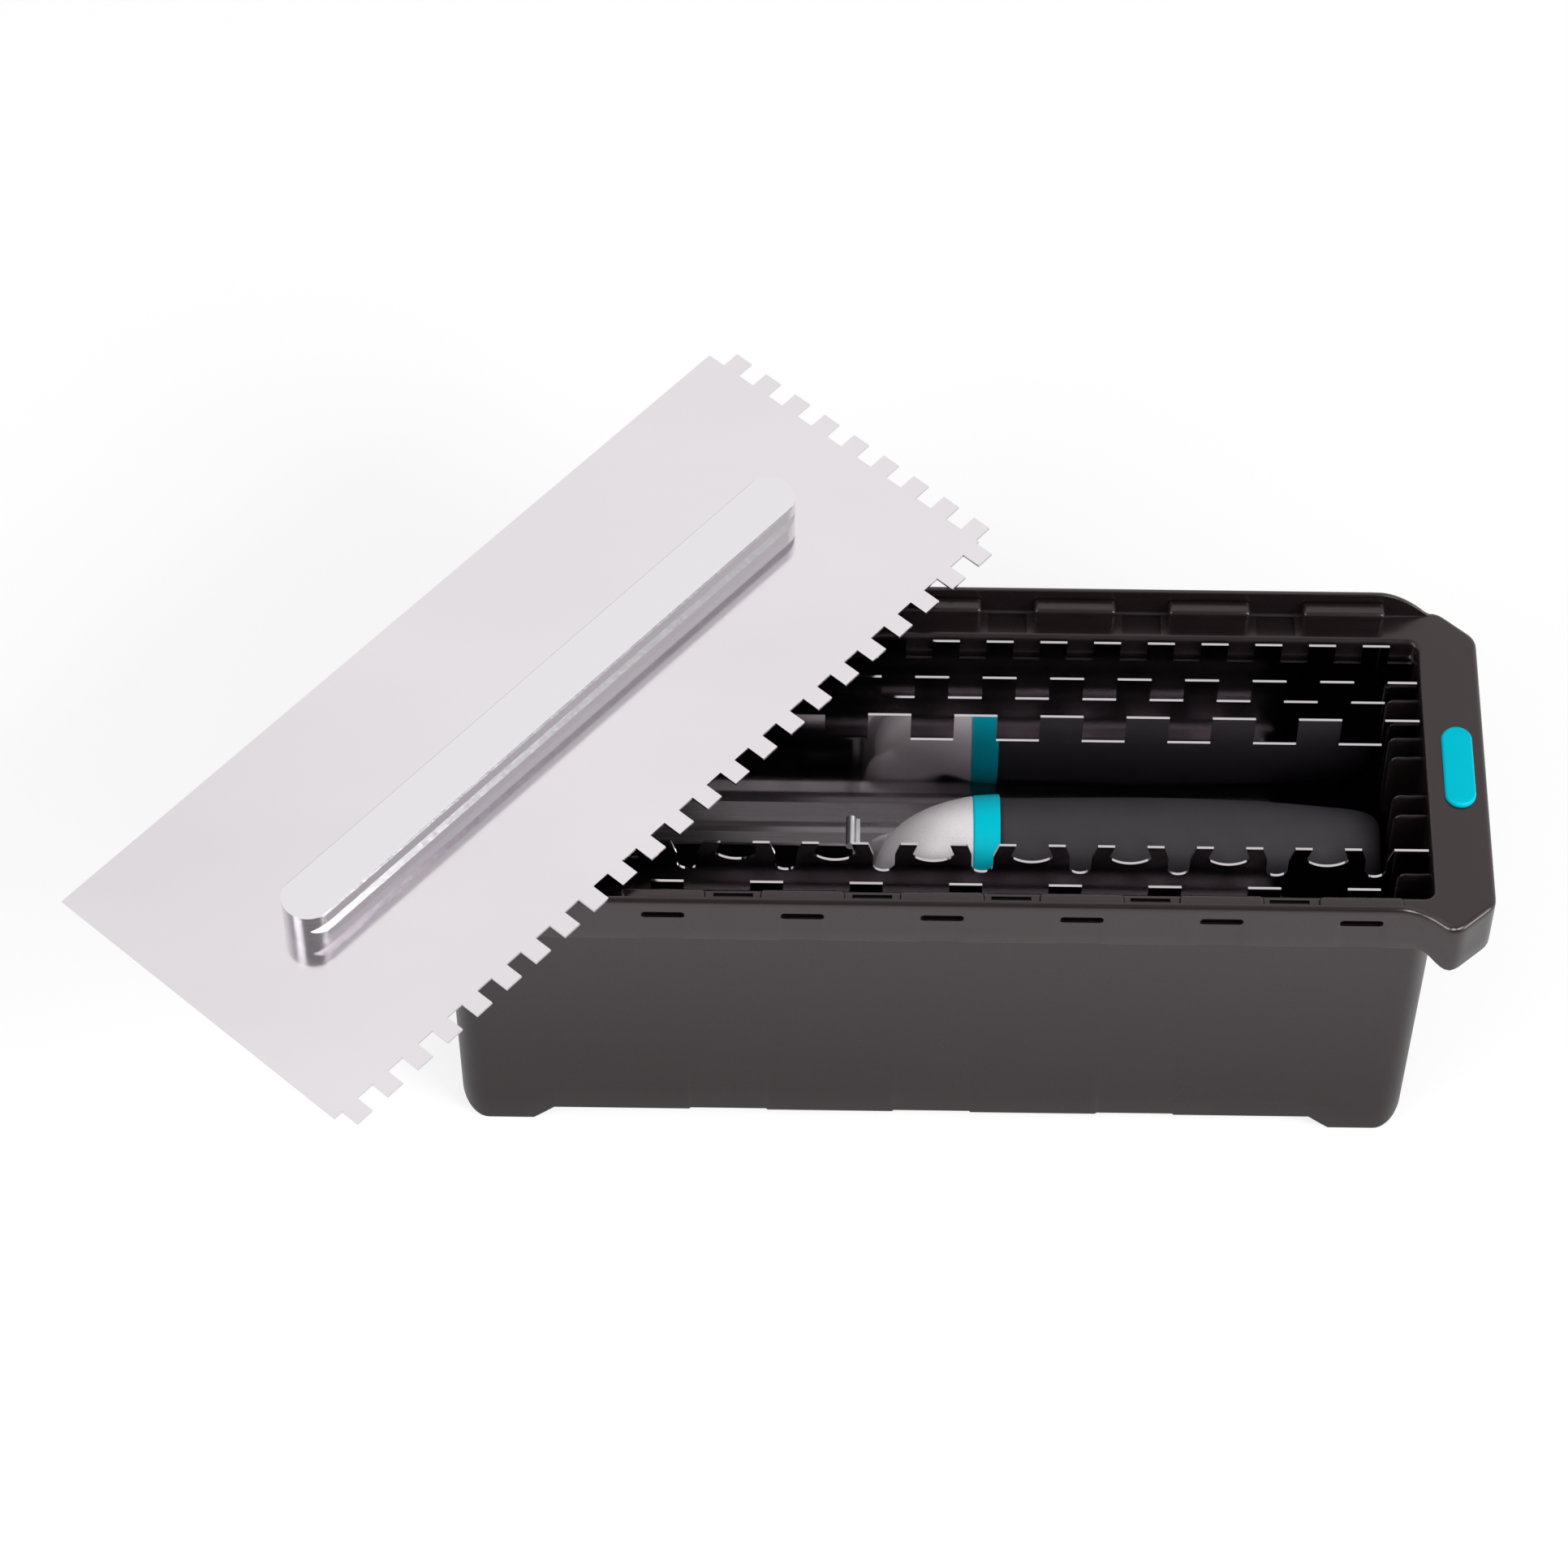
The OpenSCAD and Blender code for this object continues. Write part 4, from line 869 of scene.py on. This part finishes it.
# %% The grip
grip_low, grip_high = (np.array(corner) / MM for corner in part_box("grip_sleeve"))
GRIP_END = grip_high[0]
GRIP_R = (grip_high[1] - grip_low[1]) / 2
BARREL, BARREL_RUN, REAR_TAPER, NOSE_L, PLUG_R = 0.9, 1.15, 2.6, 10.5, 9.5
NOSE_POWER = 1.15
grip_run = GRIP_END - GRIP_X


def grip_radius(t):
    """Barrelled by a sine over most of the length, then drawn in by a fifth power at the rear."""
    barrel = BARREL * np.sin(np.pi * np.minimum(t * BARREL_RUN, 1))
    return GRIP_R - BARREL + barrel - REAR_TAPER * t ** 5


places = np.linspace(0.012, 1 - NOSE_L / grip_run, 40)
body_line = list(zip(GRIP_X + places * grip_run, grip_radius(places)))
nose_from, nose_r = body_line[-1]
slope = (body_line[-1][1] - body_line[-2][1]) / (body_line[-1][0] - body_line[-2][0])
nose_angle = np.linspace(0, np.pi / 2, 16)[1:]
nose = [(nose_from + NOSE_L * math.sin(a), nose_r + slope * NOSE_L * math.sin(a) * math.cos(a)
         - (nose_r - PLUG_R) * (1 - math.cos(a)) ** NOSE_POWER) for a in nose_angle]
front = [(GRIP_X, 0), (GRIP_X, grip_radius(0) - 0.8), (GRIP_X + 0.35, grip_radius(0) - 0.25)]
rear = [(GRIP_END, PLUG_R), (GRIP_END - 0.8, PLUG_R - 0.3), (GRIP_END - 0.8, 0)]
grip_profile = front + body_line + nose + rear
build("grip", [turned_piece(grip_profile)], rubber, "handle", ["grip_sleeve"])
build("grip_cap", [turned_piece([(GRIP_END - 3, 0), (GRIP_END - 3, PLUG_R - 0.4),
                                 (GRIP_END - 0.9, PLUG_R - 0.4), (GRIP_END - 0.4, PLUG_R - 0.9),
                                 (GRIP_END - 0.4, 0)])], core, "handle", ["end_plug"])

# %% [markdown]
# ## The camera
#
# The view is from the front and well above, through a long lens, so that far edges stay almost
# as long as near ones. A camera looks along its own -Z with +Y up, so its turn is a matrix whose
# columns are its right, up and backward directions.

# %% Camera
EYE = Vector((-0.03847, -0.91552, 1.38103))
AHEAD = Vector((-0.00479, 0.58486, -0.81112)).normalized()
RIGHT = Vector((0.99991, 0.01313, 0.00356))
LENS = 121.88


def place_camera():
    """A camera at EYE that looks along AHEAD, rolled so that RIGHT is its right."""
    right = (RIGHT - AHEAD * RIGHT.dot(AHEAD)).normalized()
    up = right.cross(AHEAD)
    data = bpy.data.cameras.new("camera")
    data.sensor_width = 36
    data.lens = LENS
    camera = bpy.data.objects.new("camera", data)
    turn = Matrix((right, up, -AHEAD)).transposed().to_4x4()
    camera.matrix_world = Matrix.Translation(EYE) @ turn
    scene.collection.objects.link(camera)
    scene.camera = camera


place_camera()

# %% [markdown]
# ## Surroundings
#
# Polished steel shows whatever stands round it, so the room matters more than the lamps: it is
# white behind and above, and darker on the side that the viewer stands on. The darker part gives
# the steel in the box its depth. In mirrors the floor is a glow with a painted shadow: it is
# darker near the box. The camera sees the room as plain white, and the floor as mostly white light
# laid over its own shading, so that the shadow stays faintly visible.

# %% A room that is darker in front
ROOM_FRONT, ROOM_BACK = 0.25, 1.05
FILL_FRONT, FILL_BACK = 1.0, 0.2
# Glow of the floor in mirrors near the box and far from it: the lower glow near the box is a
# painted shadow.
FLOOR_NEAR, FLOOR_FAR = 0.52, 1.0
FOOTPRINT = (0.148, 0.048)


ROOM_FROM, ROOM_TO = -0.4, 0.45
FILL_FROM, FILL_TO = -0.8, 0.4
FLOOR_WHITE, FLOOR_GLOW = 0.72, 1.06


def feed(tree, socket, value):
    """Gives a socket either a number or a link from another node."""
    if isinstance(value, (int, float)):
        socket.default_value = value
    else:
        tree.links.new(value, socket)


def new_math(tree, operation, first, second):
    """A Math node of two values, each a number or a link."""
    node = tree.nodes.new("ShaderNodeMath")
    node.operation = operation
    for socket, value in zip(node.inputs, (first, second)):
        feed(tree, socket, value)
    return node.outputs[0]


def mirror_ray(tree):
    """The Light Path node, and 1 where a ray comes from a mirror or through glass, or else 0."""
    path = tree.nodes.new("ShaderNodeLightPath")
    return path, new_math(tree, "MAXIMUM", path.outputs["Is Glossy Ray"],
                          path.outputs["Is Transmission Ray"])


def axes_of(tree, vector):
    """A vector's X, Y and Z."""
    split = tree.nodes.new("ShaderNodeSeparateXYZ")
    tree.links.new(vector, split.inputs[0])
    return split.outputs


def smooth_ramp(tree, value, start, end, first, last):
    """Goes smoothly from first to last while value goes from start to end."""
    ramp = tree.nodes.new("ShaderNodeMapRange")
    ramp.interpolation_type = "SMOOTHSTEP"
    for socket, number in (("From Min", start), ("From Max", end), ("To Min", first),
                           ("To Max", last)):
        ramp.inputs[socket].default_value = number
    tree.links.new(value, ramp.inputs["Value"])
    return ramp.outputs["Result"]


def front_to_back(tree, vector, front, back, near_y, far_y):
    """A strength that grows smoothly from front to back along y."""
    return smooth_ramp(tree, axes_of(tree, vector)["Y"], near_y, far_y, front, back)


def away_from_box(tree, near, far, reach=0.1):
    """A floor glow that grows with the distance from the box's footprint: painted shadow near it.
    """
    place = axes_of(tree, tree.nodes.new("ShaderNodeTexCoord").outputs["Object"])
    gaps = [new_math(tree, "SUBTRACT", new_math(tree, "ABSOLUTE", place[axis], 0.0), half)
            for axis, half in zip("XY", FOOTPRINT)]
    return smooth_ramp(tree, new_math(tree, "MAXIMUM", *gaps), 0.0, reach, near, far)


def mix_shaders(tree, factor, first, second):
    """The first shader where factor is 0 and the second where it is 1."""
    mix = tree.nodes.new("ShaderNodeMixShader")
    for socket, value in zip(mix.inputs, (factor, first, second)):
        feed(tree, socket, value)
    return mix.outputs[0]


def white_light(tree, kind, strength):
    """A white Background or Emission node."""
    node = tree.nodes.new(kind)
    node.inputs["Color"].default_value = (1, 1, 1, 1)
    feed(tree, node.inputs["Strength"], strength)
    return node.outputs[0]


# %% The room and the floor
def make_world():
    """Mirrors see the room, dull surfaces see the fill, and the camera sees plain white."""
    world = bpy.data.worlds.new("studio")
    scene.world = world
    world.use_nodes = True
    tree = world.node_tree
    tree.nodes.clear()
    heading = tree.nodes.new("ShaderNodeTexCoord").outputs["Generated"]
    path, mirrored = mirror_ray(tree)
    room, fill = (white_light(tree, "ShaderNodeBackground", front_to_back(tree, heading, *span))
                  for span in ((ROOM_FRONT, ROOM_BACK, ROOM_FROM, ROOM_TO),
                               (FILL_FRONT, FILL_BACK, FILL_FROM, FILL_TO)))
    seen = mix_shaders(tree, mirrored, fill, room)
    seen = mix_shaders(tree, path.outputs["Is Camera Ray"], seen,
                       white_light(tree, "ShaderNodeBackground", 1.0))
    out = tree.nodes.new("ShaderNodeOutputWorld")
    tree.links.new(seen, out.inputs["Surface"])


def make_floor(size=6.0):
    """One large square at the height that the feet stand on, with a light shadow."""
    corners = [(-size, -size, 0), (size, -size, 0), (size, size, 0), (-size, size, 0)]
    mesh = bpy.data.meshes.new("floor")
    mesh.from_pydata(corners, [], [(0, 1, 2, 3)])
    floor = bpy.data.objects.new("floor", mesh)
    scene.collection.objects.link(floor)
    material, tree, shader = finish_with("floor", (0.93, 0.93, 0.93, 1), 0.0, 0.9)
    path, mirrored = mirror_ray(tree)
    lit = shader.outputs[0]
    # In mirrors the floor is a glow that is darker near the box: a painted shadow.
    mirror_glow_painted_shadow = white_light(tree, "ShaderNodeEmission",
                            away_from_box(tree, FLOOR_NEAR, FLOOR_FAR))
    to_eye = mix_shaders(tree, FLOOR_WHITE, lit,
                         white_light(tree, "ShaderNodeEmission", FLOOR_GLOW))
    seen = mix_shaders(tree, mirrored, lit, mirror_glow_painted_shadow)
    seen = mix_shaders(tree, path.outputs["Is Camera Ray"], seen, to_eye)
    tree.links.new(seen, tree.nodes["Material Output"].inputs["Surface"])
    mesh.materials.append(material)


make_world()
make_floor()
print("room and floor made")

# %% [markdown]
# ## Lamps
#
# Four soft square lamps: two high in front, the right one much the stronger, which give the
# form its lit and shaded sides, and two low ones beside the box, which draw the bright lines
# on the ends of the pads.

# %% Four soft lamps
def lamp(name, place, size, power, aim=(0, 0, 0.07)):
    """A square lamp of size metres and power watts at place, turned towards aim."""
    data = bpy.data.lights.new(name, "AREA")
    data.shape = "SQUARE"
    data.size = size
    data.energy = power
    light = bpy.data.objects.new(name, data)
    light.location = place
    light.rotation_euler = (Vector(aim) - Vector(place)).to_track_quat("-Z", "Y").to_euler()
    scene.collection.objects.link(light)


lamp("front_right", (1.3, -1.05, 1.5), 0.8, 26)
lamp("front_left", (-1.3, -1.05, 1.5), 0.8, 9)
lamp("right", (1.5, -0.57, 0.33), 0.5, 8)
lamp("left", (-1.5, -0.57, 0.33), 0.5, 8)
scene.view_settings.view_transform = "Standard"
